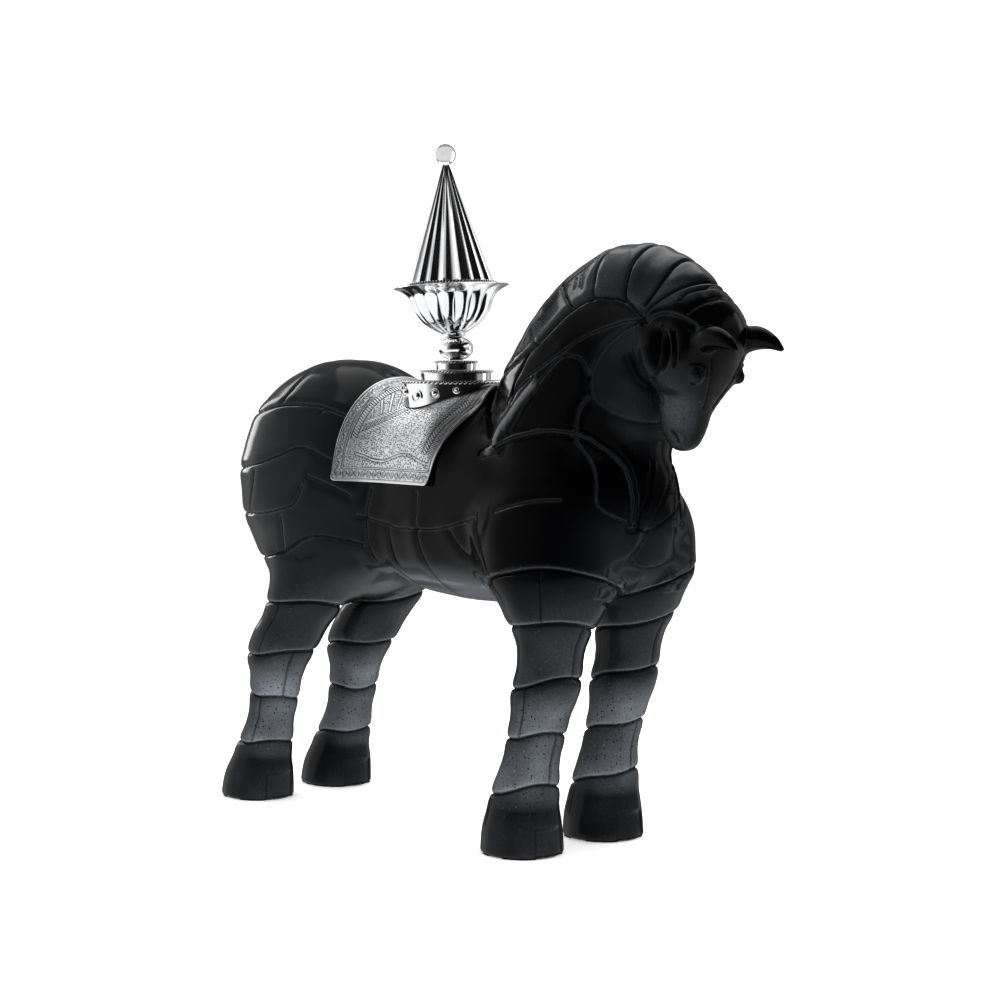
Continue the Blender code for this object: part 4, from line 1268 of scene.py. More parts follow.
def engraved_silver():
    """Silver with blackened engraving and a stippled ground."""
    made = plain_material("engraved_silver", ENGRAVED, 0.2, 1.0)
    w = Wiring(made.node_tree)
    place = w.add("ShaderNodeTexCoord").outputs["Object"]
    recess = w.attribute("recess")
    ground = w.attribute("ground")
    stipple = w.add("ShaderNodeTexVoronoi", Vector=place, Scale=STIPPLE_SCALE).outputs["Distance"]
    pit = w.product(w.span(stipple, *PIT_EDGE), ground)
    cloud = w.noise(place, ENGRAVED_CLOUD_SCALE, 4.0)
    dark = w.math("MAXIMUM", w.span(recess, 0.15, 0.9), w.product(pit, PIT_DARK))
    dark = w.product(dark, w.span(cloud, *NOISE_RANGE, 0.65, 1.0))
    w.colour(w.mix(dark, ENGRAVED_PALE, ENGRAVED_DARK))
    w.roughness(w.math("ADD", w.product(dark, 0.2), w.span(cloud, *NOISE_RANGE, *ENGRAVED_ROUGHNESS)))
    grain = w.product(w.noise(place, ENGRAVED_GRAIN_SCALE), w.math("ADD", w.product(ground, 0.5), 0.1))
    w.bumped(w.math("SUBTRACT", grain, w.product(pit, PIT_DEPTH)), 0.0003, 0.8)
    return made


def clear_crystal():
    """Clear glass, by plain values, with a faint unevenness of its skin."""
    made = plain_material("clear_crystal", (1.0, 1.0, 1.0), 0.0)
    w = Wiring(made.node_tree)
    w.shader.inputs["Transmission Weight"].default_value = 1.0
    w.shader.inputs["IOR"].default_value = GLASS_IOR
    place = w.add("ShaderNodeTexCoord").outputs["Object"]
    w.bumped(w.noise(place, GLASS_WAVE_SCALE, 2.0), 0.00005, 0.4)
    return made


def pale_floor():
    """A plain white floor with a trace of tone in it."""
    made = plain_material("floor", FLOOR_COLOUR, 0.7)
    w = Wiring(made.node_tree)
    place = w.add("ShaderNodeTexCoord").outputs["Object"]
    w.colour(w.mix(w.noise(place, 3.0), FLOOR_PALE, (*FLOOR_COLOUR, 1)))
    w.shader.inputs["Emission Color"].default_value = (1, 1, 1, 1)
    w.shader.inputs["Emission Strength"].default_value = FLOOR_GLOW
    return made


def give_values(thing, **columns):
    """Numbers for each point of the mesh that its material reads by name."""
    for name, values in columns.items():
        kept = thing.data.attributes.new(name, "FLOAT", "POINT")
        kept.data.foreach_set("value", np.asarray(values, np.float32).ravel())


def band_shade(points, rows, rings):
    """From 0 under each leg band's upper seam to 1 over its lower one, for painted shade under the seam and
    painted light towards the band's foot, and where the painted highlights on the lips are.
    """
    x, y, z = folded(points).T
    centre_x, centre_y = leg_section(rows, z)[:2]
    angle = np.arctan2(y - centre_y, x - centre_x)
    levels = leg_levels(angle, rings)
    shade = np.full(len(points), 0.5)
    lip = np.zeros(len(points))
    for level in levels:
        lip = np.maximum(lip, bell(z - level - LIP_PLACE, 0.7))
    for upper, lower in zip(levels, levels[1:] + [0 * z]):
        inside = (z < upper) & (z >= lower)
        shade = np.where(inside, (upper - z) / np.maximum(upper - lower, 1), shade)
    return shade, lip


def mane_share(points):
    """1 over the mane and 0 off it."""
    x, z = points[:, 0], points[:, 2]
    border = np.interp(x, *np.transpose(MANE_BORDER))
    return ramp(z - border, *MANE_EDGE) * ramp(x, *MANE_START)


def hollow_shade_share(points, normals, gap, mane):
    """How much painted shade each point gets for lying in a seam, a deep cut or a hollow, by its gap to the
    nearest seam.
    """
    flat = points[:, (0, 2)]
    slopes = normals[:, (0, 2)]
    hollow = np.maximum(0.8 * bell(gap, 0.6), mane * bell(gap, 1.6))
    for pair in LEG_PAIRS:
        hollow = np.maximum(hollow, 0.9 * bell(leg_carving(points, *pair)[1], 1.0))
    inner = oval_share(flat, HOLLOWS[0][:2], 0.6, 0.95)
    hollow = np.maximum(hollow, inner * (np.abs(points[:, 1]) > 6))
    for outline, width, depth in CUTS:
        if depth >= DEEP_CUT:
            near, distance = near_line(flat, slopes, outline, CUT_REACH)
            hollow[near] = np.maximum(hollow[near], bell(distance, width * 0.9))
    for outline, width, depth in CUTS:
        if depth <= HIGH_RIDGE:
            near, distance = near_line(flat, slopes, outline, CUT_REACH)
            hollow[near] *= 1 - bell(distance, width)
    ahead = (points[:, 0] > FRONT_START) & (normals[:, 0] > 0.1)
    for outline, width, depth in FRONT_CUTS:
        if depth >= DEEP_FRONT_CUT:
            near, distance = near_line(points[:, (1, 2)], normals[:, (1, 2)], outline, CUT_REACH, ahead)
            hollow[near] = np.maximum(hollow[near], 0.8 * bell(distance, width))
    _, reach, arc = around_eye(points)
    for radius, width, amount in LID_LINES:
        hollow = np.maximum(hollow, amount * bell(reach - radius, width) * arc)
    return hollow * off_ear(points)


def leg_shade(points, normals):
    """How low each point lies in its leg band, for painted shade and light, with painted light on sides that
    face forward or down and on the sides of the head, and where the painted highlights on the lips over the
    seams are.
    """
    x, z = points[:, 0], points[:, 2]
    behind = x < (FRONT_LEG[5][1] + HIND_LEG[5][1]) / 2
    hind = band_shade(points, HIND_LEG, HIND_RINGS)
    fore = band_shade(points, FRONT_LEG, FRONT_RINGS)
    band, lip = (np.where(behind, one, other) for one, other in zip(hind, fore))
    # Painted light on sides that face forward and on undersides
    band = 0.5 * band + 0.45 * (0.5 + 0.5 * normals[:, 0]) + 0.3 * np.maximum(-normals[:, 2], 0)
    # Painted light on the head's sides and painted shade on its front and top
    head = ramp(x, *HEAD_SHADE_X) * ramp(z, *HEAD_SHADE_Z)
    return band * (1 - head) + head * (0.15 + 0.8 * np.abs(normals[:, 1]) ** 2), lip


def painted_light_share(points, normals):
    """How much painted light the black glass gets: over the flank, the cheek, the belly and the breast."""
    flat = points[:, (0, 2)]
    painted_light = np.zeros(len(points))
    for *oval, amount in PAINTED_LIGHT_OVALS:
        painted_light = np.maximum(painted_light, amount * oval_share(flat, oval, *OVAL_EDGE))
    *oval, amount = BREAST_PAINTED_LIGHT
    breast = oval_share(flat, oval, 0.5, 1.2)
    return np.maximum(painted_light, amount * breast * np.maximum(normals[:, 0], 0) ** 4)


def horse_values(points, normals):
    """The numbers that the black crystal reads at each point, by name. Most of them paint light, highlights
    or shade into its colour.
    """
    z = points[:, 2]
    flat = points[:, (0, 2)]
    slopes = normals[:, (0, 2)]
    gap = np.full(len(points), np.inf)
    for outline in [line for line, _ in SEAMS] + [BEAD]:
        near, distance = near_line(flat, slopes, outline)
        gap[near] = np.minimum(gap[near], distance)
    mane = mane_share(points)
    band, lip = leg_shade(points, normals)
    # Painted highlights beside the body's seams and on the lips over the leg seams
    seam = bell(gap - SEAM_LIP, 0.75) * ramp(z, *SEAM_LIGHT_FROM)
    seam = np.maximum(seam, LIP_LIGHT * lip * (1 - ramp(z, *LIP_LIGHT_TO)))
    # A painted highlight along the withers
    near, distance = near_line(flat, slopes, GLINT, CUT_REACH)
    glint = np.zeros(len(points))
    glint[near] = bell(distance, GLINT_WIDTH)
    # A painted highlight on the crest's top where it faces up
    crest = CREST_GLINT * ramp(normals[:, 2], *CREST_FACING) * ramp(z, *CREST_HEIGHT)
    return dict(
        seam=seam,
        hollow=hollow_shade_share(points, normals, gap, mane),
        mane=mane,
        band=band,
        glint=np.maximum(glint, crest),
        painted_light=painted_light_share(points, normals),
        quiet=oval_share(flat, QUIET, 0.7, 1.15) * (1 - mane),
    )


def held_in_box(thing):
    """No point of the mesh past the box of the solids."""
    for point in thing.data.vertices:
        for axis in range(3):
            point.co[axis] = min(max(point.co[axis], cad_box[0][axis]), cad_box[1][axis])


def horse(material):
    points, faces = horse_net()
    thing = mesh_piece("horse_carved", points * UNIT, faces, material)
    cut = bmesh.new()
    cut.from_mesh(thing.data)
    every = cut.verts[:] + cut.edges[:] + cut.faces[:]
    bmesh.ops.bisect_plane(cut, geom=every, plane_co=(0, 0, 0), plane_no=(0, 0, 1), clear_inner=True)
    bmesh.ops.holes_fill(cut, edges=[e for e in cut.edges if e.is_boundary])
    cut.to_mesh(thing.data)
    cut.free()
    thin = thing.modifiers.new("fewer_faces", "DECIMATE")
    thin.ratio = min(1.0, HORSE_TRIANGLES / len(faces))
    settled(thing)
    held_in_box(thing)
    thing.data.shade_smooth()
    thing.data.set_sharp_from_angle(angle=math.radians(60))
    count = len(thing.data.vertices)
    place = np.empty(3 * count)
    thing.data.vertices.foreach_get("co", place)
    facing = np.empty(3 * count)
    thing.data.vertex_normals.foreach_get("vector", facing)
    place = place.reshape(-1, 3)
    place[:, 0] -= SHIFT
    give_values(thing, **horse_values(place / UNIT, facing.reshape(-1, 3)))
    return stands_for(thing, "horse")


def rings_of(rings):
    """Points and faces over rings of points that all have the same count, closed at both ends."""
    count = len(rings[0])
    points = [p for ring in rings for p in ring]
    faces = []
    for r in range(len(rings) - 1):
        for i in range(count):
            j = (i + 1) % count
            faces.append((r * count + i, r * count + j, (r + 1) * count + j, (r + 1) * count + i))
    faces.append(tuple(range(count))[::-1])
    faces.append(tuple((len(rings) - 1) * count + i for i in range(count)))
    return points, faces


def turned(profile, count, centre, shape=None):
    """Rings around an upright axis from radius, height rows; shape gives each ring's radius at each turn."""
    rings = []
    angle = 2 * np.pi * np.arange(count) / count
    for row in profile:
        reach = np.full(count, float(row[0])) if shape is None else shape(row, angle)
        places = zip(centre[0] + reach * np.cos(angle), centre[1] + reach * np.sin(angle))
        rings.append([(x, y, row[1]) for x, y in places])
    return rings


def rope_ring(radius, height, thick, centre, strands, steps=6, sides=10):
    """A closed rope of two strands around an upright axis."""
    rings = []
    dark = []
    count = strands * steps
    for i in range(count):
        turn = 2 * math.pi * i / count
        twist = math.pi * i / steps
        ring = []
        for k in range(sides):
            phase = 2 * math.pi * k / sides
            swell = math.cos(2 * (phase - twist))
            reach = thick * (0.68 + 0.32 * swell)
            dark.append(max(0.0, -swell))
            out = radius + reach * math.cos(phase)
            ring.append(
                (
                    centre[0] + out * math.cos(turn),
                    centre[1] + out * math.sin(turn),
                    height + reach * math.sin(phase),
                )
            )
        rings.append(ring)
    points = [p for ring in rings for p in ring]
    faces = []
    for r in range(count):
        after = (r + 1) % count
        for i in range(sides):
            j = (i + 1) % sides
            faces.append((r * sides + i, r * sides + j, after * sides + j, after * sides + i))
    return points, faces, dark


def joined(parts):
    """Several lists of points, faces and, for a rope, how dark each point is, as one."""
    points = []
    faces = []
    dark = []
    for part_points, part_faces, *part_dark in parts:
        base = len(points)
        points += [tuple(p) for p in part_points]
        faces += [tuple(i + base for i in face) for face in part_faces]
        dark += part_dark[0] if part_dark else [0.0] * len(part_points)
    return points, faces, dark


def leaned(points, pivot):
    turn = Matrix.Translation(pivot) @ Matrix.Rotation(-LEAN, 4, "Y") @ Matrix.Translation(-pivot)
    return [tuple(turn @ Vector(p)) for p in points]


def silver_piece(name, node, parts, material, pivot=None, sharp=40.0):
    """One object from lists of points and faces, with its ropes' hollows dark, leaned if it has a pivot."""
    points, faces, dark = joined(parts)
    if pivot is not None:
        points = leaned(points, pivot)
    thing = mesh_piece(name, points, faces, material, sharp)
    give_values(thing, recess=dark)
    return stands_for(thing, node)


def level_above_skin(start, heading, level, reach=130.0):
    """Where lines from start points leave the horse by a given gap: points in metres."""
    start = np.asarray(start, float) / UNIT
    heading = np.asarray(heading, float)
    near = np.zeros(len(start))
    far = np.full(len(start), reach)
    for _ in range(18):
        middle = (near + far) / 2
        outside = horse_distance(start + heading * middle[:, None]) > level / UNIT
        far = np.where(outside, middle, far)
        near = np.where(outside, near, middle)
    return (start + heading * ((near + far) / 2)[:, None]) * UNIT


def cloth_face(level):
    """A grid of points of the cloth at a level above the skin, by rows from the rear and from hem to hem."""
    turn = np.linspace(-CLOTH_DROP, CLOTH_DROP, CLOTH_GUIDES[1])
    share = np.linspace(0, 1, CLOTH_GUIDES[0])
    sweep = CLOTH_SWEEP * np.exp(-((turn / CLOTH_SWEEP_REACH) ** 2))
    hem = ramp(np.abs(turn) / CLOTH_DROP, *FLARE_RANGE) * 2 * np.sign(turn) * CLOTH_FLARE
    x = CLOTH_X * UNIT + (share[:, None] - 0.5) * CLOTH_LENGTH + share[:, None] * sweep[None]
    start = np.stack([x, 0 * x, 0 * x + CLOTH_AXIS * UNIT], -1).reshape(-1, 3)
    heading = np.stack([0 * turn, np.sin(turn), np.cos(turn)], 1)
    heading = np.tile(heading, (len(share), 1))
    line = level_above_skin(start, heading, level).reshape(len(share), len(turn), 3)
    line[:, :, 1] += hem
    rows = through(line, np.linspace(0, 1, CLOTH_NET[0]))
    columns = through(rows.transpose(1, 0, 2), np.linspace(0, 1, CLOTH_NET[1]))
    return rounded_corners(columns.transpose(1, 0, 2).copy())


def rounded_corners(grid):
    """The cloth with the ends of its first and last rows drawn in, which rounds its corners."""
    steps = np.linalg.norm(np.diff(grid, axis=0), axis=2).mean(axis=1)
    from_rear = np.concatenate([[0], np.cumsum(steps)])
    edge = np.minimum(from_rear, from_rear[-1] - from_rear)
    short = np.clip(CORNER_RADIUS - edge, 0, CORNER_RADIUS)
    draw = CORNER_RADIUS - np.sqrt(CORNER_RADIUS**2 - short**2)
    for row, pull in zip(grid, draw):
        way = np.concatenate([[0], np.cumsum(np.linalg.norm(np.diff(row, axis=0), axis=1))])
        wanted = np.linspace(pull, way[-1] - pull, len(row)) if pull > 0 else way
        row[:] = np.stack([np.interp(wanted, way, row[:, i]) for i in range(3)], 1)
    return grid


def scroll_cut(along, border):
    """A running scroll in the border, with a curled leaf in each half turn."""
    middle = sum(SCROLL_BAND) / 2
    swing = (SCROLL_BAND[1] - SCROLL_BAND[0]) / 2 - SCROLL_MARGIN
    turn = 2 * np.pi * along / SCROLL_LENGTH
    slant = np.sqrt(1 + (2 * np.cos(turn)) ** 2)
    stem = bell((border - middle - swing * np.sin(turn)) / slant, SCROLL_LINE)
    half = np.round(along / (SCROLL_LENGTH / 2) - 0.5)
    side = np.where(half % 2 == 0, 1, -1)
    off_along = along - (half + 0.5) * SCROLL_LENGTH / 2
    off_border = border - middle + LEAF_SHIFT * side
    reach = np.hypot(off_along, off_border)
    curl = np.arctan2(off_along, off_border * side) / np.pi
    leaf = np.maximum(bell(reach - LEAF_RADIUS - LEAF_CURL * curl, LEAF_LINE), bell(reach, LEAF_BUD))
    return np.maximum(stem, leaf)


def cord_cut(rear, hem, field):
    """Where the twisted cord beside the rear border lies, and its cuts."""
    hanging = field & (hem > CORD_START)
    cord = hanging & (rear > CORD[0]) & (rear < CORD[1])
    strand = np.sin(2 * np.pi * (hem + CORD_SLANT * rear) / CORD_PITCH)
    cut = np.where(cord, np.clip(strand * 1.6 - 0.2, 0, 1), 0)
    for edge in CORD:
        cut = np.maximum(cut, bell(rear - edge, LINE_WIDTH) * hanging)
    return cord, cut


def chevron_strip(run, strip):
    """The number, the chevrons and the edges of each strip, by the run along it and the strips across."""
    number = np.floor(strip)
    share = strip - number
    slant = np.where(number % 2 == 0, 1, -1) * share * STRIP_WIDTH * CHEVRON_SLANT
    cut = np.clip(np.sin(2 * np.pi * (run + slant) / CHEVRON_PITCH) * 1.5 - 0.3, 0, 1)
    return number, cut, bell(np.minimum(share, 1 - share) * STRIP_WIDTH, LINE_WIDTH)


def panel_cut(rear, hem, field):
    """Chevron strips across the panel, rays above them and waves below, and where the ground is plain."""
    panel = field & (rear > CORD[1] + 1.0)
    lean = math.radians(STRIP_ANGLE)
    run = (rear - CORD[1]) * math.cos(lean) + (hem - STRIP_START) * math.sin(lean)
    rise = (hem - STRIP_START) * math.cos(lean) - (rear - CORD[1]) * math.sin(lean)
    number, chevrons, edges = chevron_strip(run, rise / STRIP_WIDTH)
    strips = panel & (number >= 0) & (number < STRIP_COUNT)
    strip_cut = np.where(strips, np.maximum(chevrons, edges), 0)
    rays = panel & (number >= STRIP_COUNT)
    turn = (run - RAY_START) / RAY_PITCH
    spoke = np.abs(turn - np.round(turn)) * RAY_PITCH
    ray_cut = np.where(rays, bell(spoke - RAY_HALF_WIDTH, LINE_WIDTH), 0)
    wave = STRIP_START * WAVE_PLACE + WAVE_SWING * np.sin(2 * np.pi * rear / WAVE_LENGTH)
    waves = np.maximum(bell(hem - wave, WAVE_LINE), bell(hem - wave + WAVE_GAP, LINE_WIDTH))
    low_cut = np.where(panel & (number < 0), waves, 0)
    plain = strips | rays & (spoke < 0.9 * RAY_HALF_WIDTH)
    return np.maximum(np.maximum(strip_cut, low_cut), ray_cut), plain


def engraving(rear, hem, front):
    """Depth and blackening of the cloth's traditional ornament, and where its ground is stippled.

    The distances from the rear edge, the nearer hem and the front edge are in thousandths of a metre.
    """
    rim = np.minimum(np.minimum(rear, front), hem)
    border = np.minimum(rear, hem)
    inside = ramp(rim, PLAIN_RIM, RIM_LINE)
    cut = bell(rim - RIM_LINE, LINE_WIDTH)
    for gap in BORDER_LINES:
        cut = np.maximum(cut, bell(border - SCROLL_BAND[1] - gap, LINE_WIDTH))
    for place in FRONT_LINES:
        cut = np.maximum(cut, bell(front - place, LINE_WIDTH) * (hem > SCROLL_BAND[1]))
    band = (border < SCROLL_BAND[1]) & (border > SCROLL_BAND[0] - 0.6) & (front > 2.4)
    scroll = scroll_cut(np.where(rear < hem, hem, rear), border) * band
    beyond = border > SCROLL_BAND[1] + FIELD_GAP
    field = beyond & (front > FRONT_FIELD)
    cord, cord_lines = cord_cut(rear, hem, field)
    inner, plain = panel_cut(rear, hem, field)
    row, chevrons, edges = chevron_strip(hem, (front - FRONT_FIELD) / STRIP_WIDTH)
    ahead = (row >= 0) & (row < FRONT_STRIPS) & (hem > FRONT_STRIPS_FROM) & beyond
    for more in (scroll, cord_lines, np.where(ahead, np.maximum(chevrons, edges), inner)):
        cut = np.maximum(cut, more)
    ground = np.where(field & ~cord & ~plain & ~ahead, 1.0, np.where(band, 0.5, 0.0)) * inside
    return cut * inside, ground


def saddlecloth(material):
    along, across = CLOTH_NET
    outer = cloth_face(CLOTH_GAP + CLOTH_THICKNESS)
    inner = cloth_face(CLOTH_GAP)
    steps = np.linalg.norm(np.diff(outer, axis=1), axis=2)
    width = np.concatenate([np.zeros((along, 1)), np.cumsum(steps, axis=1)], 1) / UNIT
    hem = np.minimum(width, width[:, -1:] - width)
    steps = np.linalg.norm(np.diff(outer, axis=0), axis=2)
    rear = np.concatenate([np.zeros((1, across)), np.cumsum(steps, axis=0)], 0) / UNIT
    cut, ground = engraving(rear, hem, rear[-1:] - rear)
    normal = np.cross(np.gradient(outer, axis=0), np.gradient(outer, axis=1))
    normal /= -np.linalg.norm(normal, axis=2, keepdims=True)
    normal *= np.sign(normal[along // 2, across // 2, 2])
    rim = np.minimum(np.minimum(rear, rear[-1:] - rear), hem)
    drop = ENGRAVING_DEPTH * cut + GROUND_DEPTH * ground + HEM_HEIGHT * ramp(rim, *HEM_INNER_EDGE)
    drop += HEM_HEIGHT * (1 - ramp(rim, *HEM_OUTER_EDGE))
    outer = outer - normal * (drop * UNIT)[:, :, None]
    points = outer.reshape(-1, 3)
    faces = []
    for i in range(along - 1):
        base = i * across
        corners = (base, base + 1, base + across + 1, base + across)
        faces += [tuple(corner + j for corner in corners) for j in range(across - 1)]
    loop = [(0, j) for j in range(across)] + [(i, across - 1) for i in range(1, along)]
    loop += [(along - 1, j) for j in range(across - 2, -1, -1)] + [(i, 0) for i in range(along - 2, 0, -1)]
    rim = np.array([inner[i, j] for i, j in loop])
    base = len(points)
    points = np.concatenate([points, rim])
    for k, (i, j) in enumerate(loop):
        after = (k + 1) % len(loop)
        n, m = loop[after]
        faces.append((i * across + j, n * across + m, base + after, base + k))
    rows = inner[:: UNDERSIDE_STEP[0], :: UNDERSIDE_STEP[1]]
    base = len(points)
    points = np.concatenate([points, rows.reshape(-1, 3)])
    wide = rows.shape[1]
    for i in range(rows.shape[0] - 1):
        for j in range(wide - 1):
            at = base + i * wide + j
            faces.append((at, at + wide, at + wide + 1, at + 1))
    thing = mesh_piece("saddlecloth_engraved", points, faces, material)
    spare = np.zeros(len(points) - along * across)
    give_values(thing, recess=np.append(cut.ravel(), spare), ground=np.append(ground.ravel(), spare))
    return stands_for(thing, "saddlecloth")


def drum_foot(radius):
    turn = 2 * np.pi * np.arange(DRUM_SIDES) / DRUM_SIDES
    centre = SADDLE_X * UNIT
    level = np.full(DRUM_SIDES, CLOTH_AXIS * UNIT)
    start = np.stack([centre + radius * np.cos(turn), radius * np.sin(turn), level], 1)
    heading = np.tile((0.0, 0.0, 1.0), (DRUM_SIDES, 1))
    return level_above_skin(start, heading, CLOTH_GAP + CLOTH_THICKNESS + DRUM_GAP)


def boss(centre, turn, radius, drop):
    """A ringed dome on the drum's wall."""
    rim = BOSS_HEIGHT / 4
    profile = [(radius, -DRUM_WALL / 2)] + [(radius * out, rim * up) for out, up in BOSS_RING]
    dome = radius * BOSS_DOME
    foot = rim * BOSS_DOME_FOOT
    for i in range(BOSS_STEPS):
        a = math.pi / 2 * i / BOSS_STEPS
        profile.append((dome * math.cos(a), foot + (BOSS_HEIGHT - foot) * math.sin(a)))
    points, faces = rings_of(turned(profile, BOSS_SIDES, (0, 0)))
    place = Matrix.Translation((*centre, DRUM_TOP - drop)) @ Matrix.Rotation(turn, 4, "Z")
    place = place @ Matrix.Translation((DRUM_RADIUS, 0, 0)) @ Matrix.Rotation(math.pi / 2, 4, "Y")
    return [tuple(place @ Vector(p)) for p in points], faces


def saddle_drum(material):
    centre = (SADDLE_X * UNIT, 0.0)
    under = DRUM_TOP - DRUM_WALL
    inner_radius = DRUM_RADIUS - DRUM_WALL
    inner, outer = (drum_foot(radius) for radius in (inner_radius, DRUM_RADIUS))
    for foot in (inner, outer):
        foot[:, 2] = np.minimum(foot[:, 2], under - REST_GAP)
    rows = turned([(inner_radius, under)], DRUM_SIDES, centre) + [inner, outer]
    brim = [(DRUM_RADIUS, DRUM_TOP - 1.2 * ROPE_RADIUS), (DRUM_RADIUS - DRUM_BEVEL, DRUM_TOP)]
    rows += turned(brim, DRUM_SIDES, centre)
    parts = [rings_of([[tuple(p) for p in row] for row in rows])]
    parts.append(rope_ring(DRUM_RADIUS, DRUM_TOP - ROPE_RADIUS, ROPE_RADIUS, centre, DRUM_STRANDS))
    for side in (-1, 1):
        for i in range(BOSS_COUNT):
            step = i - BOSS_COUNT // 2
            turn = side * math.pi / 2 + step * BOSS_SPACING
            parts.append(boss(centre, turn, BOSS_RADII[abs(step)], BOSS_DROP - abs(step) * BOSS_CLIMB))
    return silver_piece("saddle_drum_bossed", "saddle_drum", parts, material)


def disc(node, radius, low, height, centre, strands, material):
    top = low + height
    wall = radius - DISC_SET_IN
    profile = [(wall - DISC_BEVEL, low), (wall, low + DISC_BEVEL)]
    profile += [(wall, top - 2.2 * ROPE_RADIUS), (radius, top - 1.4 * ROPE_RADIUS)]
    profile += [(radius - inset, top - drop) for inset, drop in DISC_BRIM]
    parts = [rings_of(turned(profile, DISC_SIDES, centre))]
    parts.append(rope_ring(radius, top - ROPE_RADIUS, ROPE_RADIUS, centre, strands))
    return silver_piece(node + "_roped", node, parts, material)


def knop(low, centre, material):
    rows = []
    for i in range(KNOP_LEVELS):
        turn = math.pi * (KNOP_END + (1 - 2 * KNOP_END) * i / (KNOP_LEVELS - 1))
        height = low + KNOP_HEIGHT * (0.5 - 0.5 * math.cos(turn) / math.cos(KNOP_END * math.pi))
        rows.append((KNOP_RADIUS * math.sin(turn), height))
    points, faces = rings_of(turned(rows, KNOP_SIDES, centre))
    return stands_for(mesh_piece("knop_polished", points, faces, material), "knop")


def cup(low, centre, pivot, material):
    """A lobed bowl with a thin lip that curls outward."""

    def lobed(row, angle):
        return row[0] - row[2] * (1 - np.abs(np.cos(CUP_LOBES * angle / 2)))

    walls = zip((CUP_OUTSIDE, CUP_INSIDE), CUP_LEVELS)
    profile = np.concatenate([through(wall, np.linspace(0, 1, levels)) for wall, levels in walls])
    profile[:, 0] *= UNIT
    profile[:, 2] *= UNIT
    profile[:, 1] = low + profile[:, 1] * CUP_HEIGHT
    points, faces = rings_of(turned(profile, CUP_LOBES * LOBE_SIDES, centre, lobed))
    thing = mesh_piece("cup_lobed", leaned(points, pivot), faces, material)
    return stands_for(thing, "cup")


def cover(low, centre, pivot, material):
    """A fluted cone, hollow below, with a rope around its foot."""

    def fluted(row, angle):
        return row[0] - row[2] * np.abs(np.sin(COVER_FLUTES * angle / 2))

    foot = COVER_RADIUS - 1.6 * COVER_ROPE
    rows = [
        (COVER_TIP_RADIUS * 1.2, low + COVER_HEIGHT * COVER_TIP_INSIDE, 0.0),
        (foot - COVER_WALL, low + COVER_INNER_FOOT, FLUTE_DEPTH),
        (foot, low, 0.0),
    ]
    for share in np.linspace(0, 1, COVER_LEVELS):
        radius = foot + (COVER_TIP_RADIUS - foot) * share
        height = low + COVER_FOOT + (COVER_HEIGHT - COVER_FOOT) * share
        rows.append((radius, height, FLUTE_DEPTH * (1 - FLUTE_TAPER * share)))
    parts = [rings_of(turned(rows, COVER_FLUTES * FLUTE_SIDES, centre, fluted))]
    rope_place = (COVER_RADIUS - COVER_ROPE, low + COVER_ROPE)
    parts.append(rope_ring(*rope_place, COVER_ROPE, centre, COVER_ROPE_STRANDS))
    return silver_piece("cover_fluted", "cover", parts, material, pivot, 30)


def ball(low, centre, pivot, material):
    rows = []
    start = math.asin(COVER_TIP_RADIUS / BALL_RADIUS)
    for i in range(BALL_LEVELS):
        turn = start + (math.pi - BALL_CAP - start) * i / (BALL_LEVELS - 1)
        height = low + BALL_RADIUS * (math.cos(start) - math.cos(turn))
        rows.append((BALL_RADIUS * math.sin(turn), height))
    points, faces = rings_of(turned(rows, BALL_SIDES, centre))
    thing = mesh_piece("ball_clear", leaned(points, pivot), faces, material)
    return stands_for(thing, "ball")


def area_light(name, place, target, size, power):
    lamp = bpy.data.lights.new(name, "AREA")
    lamp.shape = "RECTANGLE"
    lamp.size, lamp.size_y = size
    lamp.energy = power
    thing = bpy.data.objects.new(name, lamp)
    thing.location = place
    thing.rotation_euler = (Vector(target) - Vector(place)).to_track_quat("-Z", "Y").to_euler()
    bpy.context.scene.collection.objects.link(thing)


def finial(silver, clear):
    """The discs, knop, cup, cover and ball, each a small gap above the one below."""
    centre = (SADDLE_X * UNIT, 0.0)
    set_back = (centre[0] - CUP_SETBACK, 0.0)
    level = DRUM_TOP + REST_GAP
    for node, radius, height, strands in DISCS:
        disc(node, radius, level, height, centre, strands, silver)
        level += height + REST_GAP
    pivot = Vector((*centre, level))
    knop(level, centre, silver)
    level += KNOP_HEIGHT + REST_GAP
    cup(level, set_back, pivot, silver)
    level += CUP_HEIGHT + REST_GAP
    cover(level, set_back, pivot, silver)
    level += COVER_HEIGHT + REST_GAP
    ball(level, set_back, pivot, clear)


def white_floor():
    """A round white floor that only the camera's straight view and soft light meet."""
    mesh = bpy.data.meshes.new("floor")
    around = [2 * math.pi * i / FLOOR_SIDES for i in range(FLOOR_SIDES)]
    edge = [(SHIFT + FLOOR_REACH * math.cos(turn), FLOOR_REACH * math.sin(turn), 0) for turn in around]
    mesh.from_pydata(edge, [], [tuple(range(FLOOR_SIDES))])
    mesh.materials.append(pale_floor())
    floor = bpy.data.objects.new("floor", mesh)
    floor.location.z = -FLOOR_GAP
    bpy.context.scene.collection.objects.link(floor)
    floor.visible_transmission = False
    floor.visible_glossy = False


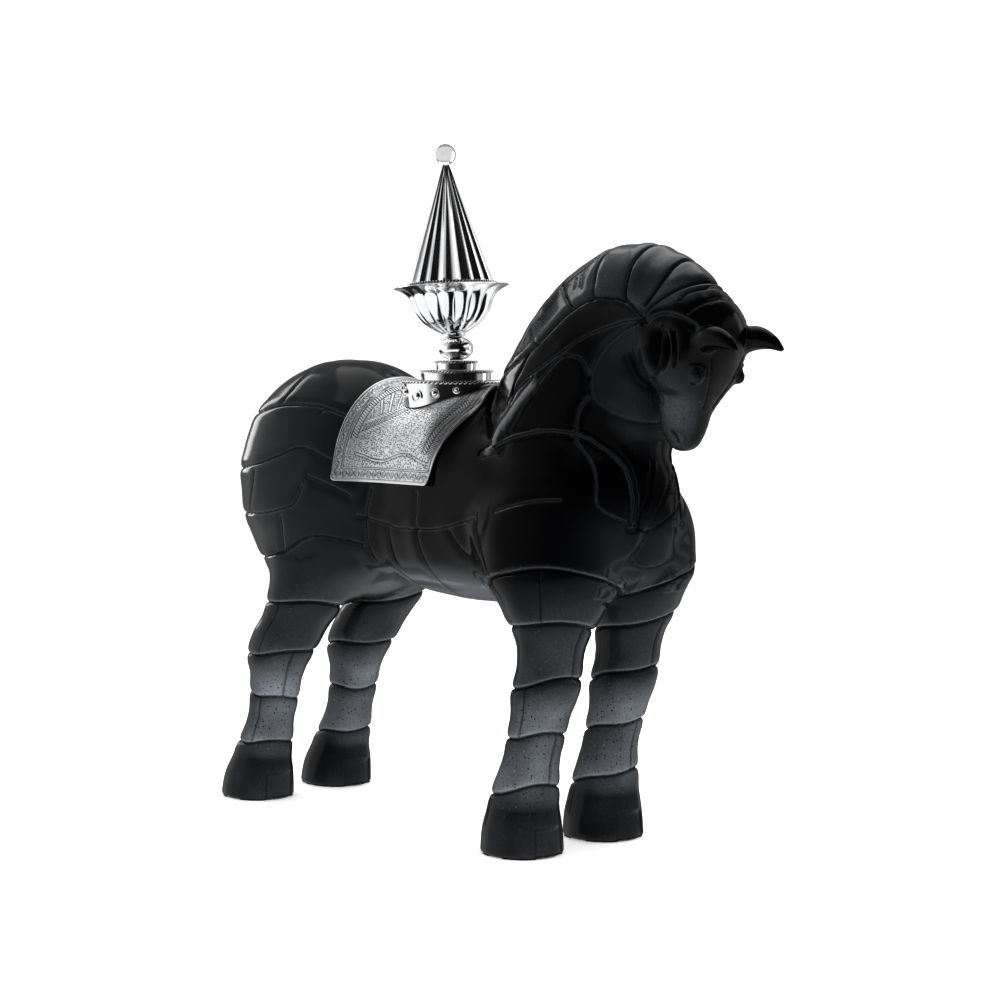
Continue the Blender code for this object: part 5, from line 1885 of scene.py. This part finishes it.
def mirror_light(w, direction, height, facing):
    """What mirrors see: stripes by heading, a bright box beside the camera and a bright floor."""
    stripes = w.add("ShaderNodeValToRGB", Fac=w.span(w.along(direction, facing, MIRROR_TURN), -1, 1))
    stops = stripes.color_ramp.elements
    while len(stops) < len(MIRROR_STOPS):
        stops.new(0.5)
    for stop, (at, value) in zip(stops, MIRROR_STOPS):
        stop.position = at
        stop.color = (value, value, value, 1)
    box = w.span(w.along(direction, facing, -SIDE_BOX[0]), *SIDE_BOX[1:])
    box = w.product(box, w.span(height, *SIDE_BOX_HEIGHTS))
    below = w.span(height, *BELOW[:2], 0.0, BELOW[2])
    light = w.math("MAXIMUM", w.math("MAXIMUM", stripes.outputs["Color"], box), below)
    level = w.span(height, *MIRROR_HEIGHTS, MIRROR_LEVEL, MIRROR_ABOVE)
    dip = w.span(w.along(direction, facing), *AWAY_DIP[:2], 1.0, AWAY_DIP[2])
    return w.background(light, w.product(level, dip))


def glass_light(w, direction, height, facing):
    """What clear glass sees: white ahead and behind, dimmer to the sides and dark above and below."""
    rim = w.span(w.math("ABSOLUTE", w.along(direction, facing)), *GLASS_RIM, GLASS_LIGHT)
    crown = w.span(w.math("ABSOLUTE", height), *GLASS_CROWN[:2], 1.0, GLASS_CROWN[2])
    return w.background(GLASS_GREY, w.product(rim, crown))


def studio():
    """A white room for the eye, others for mirrors and for clear glass, and three lights."""
    world = bpy.data.worlds.new("studio")
    bpy.context.scene.world = world
    world.use_nodes = True
    w = Wiring(world.node_tree)
    direction = w.add("ShaderNodeTexCoord").outputs["Generated"]
    height = w.add("ShaderNodeSeparateXYZ", Vector=direction).outputs["Z"]
    facing = Vector(CAMERA_TARGET) - Vector(CAMERA_PLACE)
    facing.z = 0
    facing.normalize()
    room = w.tree.nodes["Background"]
    room.inputs["Color"].default_value = (1, 1, 1, 1)
    room.inputs["Strength"].default_value = ROOM_LIGHT
    path = w.add("ShaderNodeLightPath").outputs
    mirrored = mirror_light(w, direction, height, facing)
    seen = w.chosen(path["Is Glossy Ray"], room.outputs["Background"], mirrored)
    seen = w.chosen(path["Is Transmission Ray"], seen, glass_light(w, direction, height, facing))
    w.put(w.tree.nodes["World Output"].inputs["Surface"], seen)
    for light in LIGHTS:
        area_light(*light)
    bpy.context.scene.view_settings.view_transform = "Standard"
    bpy.context.scene.view_settings.gamma = TONE


def photo_camera():
    """The camera of the photograph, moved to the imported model's frame."""
    lens = bpy.data.cameras.new("camera")
    lens.lens = CAMERA_LENS
    lens.sensor_width = CAMERA_SENSOR
    camera = bpy.data.objects.new("camera", lens)
    place = Vector(CAMERA_PLACE) + Vector((SHIFT, 0, 0))
    target = Vector(CAMERA_TARGET) + Vector((SHIFT, 0, 0))
    camera.location = place
    camera.rotation_euler = (target - place).to_track_quat("-Z", "Y").to_euler()
    bpy.context.scene.collection.objects.link(camera)
    bpy.context.scene.camera = camera


polished = polished_silver()
horse(black_crystal())
saddlecloth(engraved_silver())
saddle_drum(polished)
finial(polished, clear_crystal())
white_floor()
studio()
photo_camera()
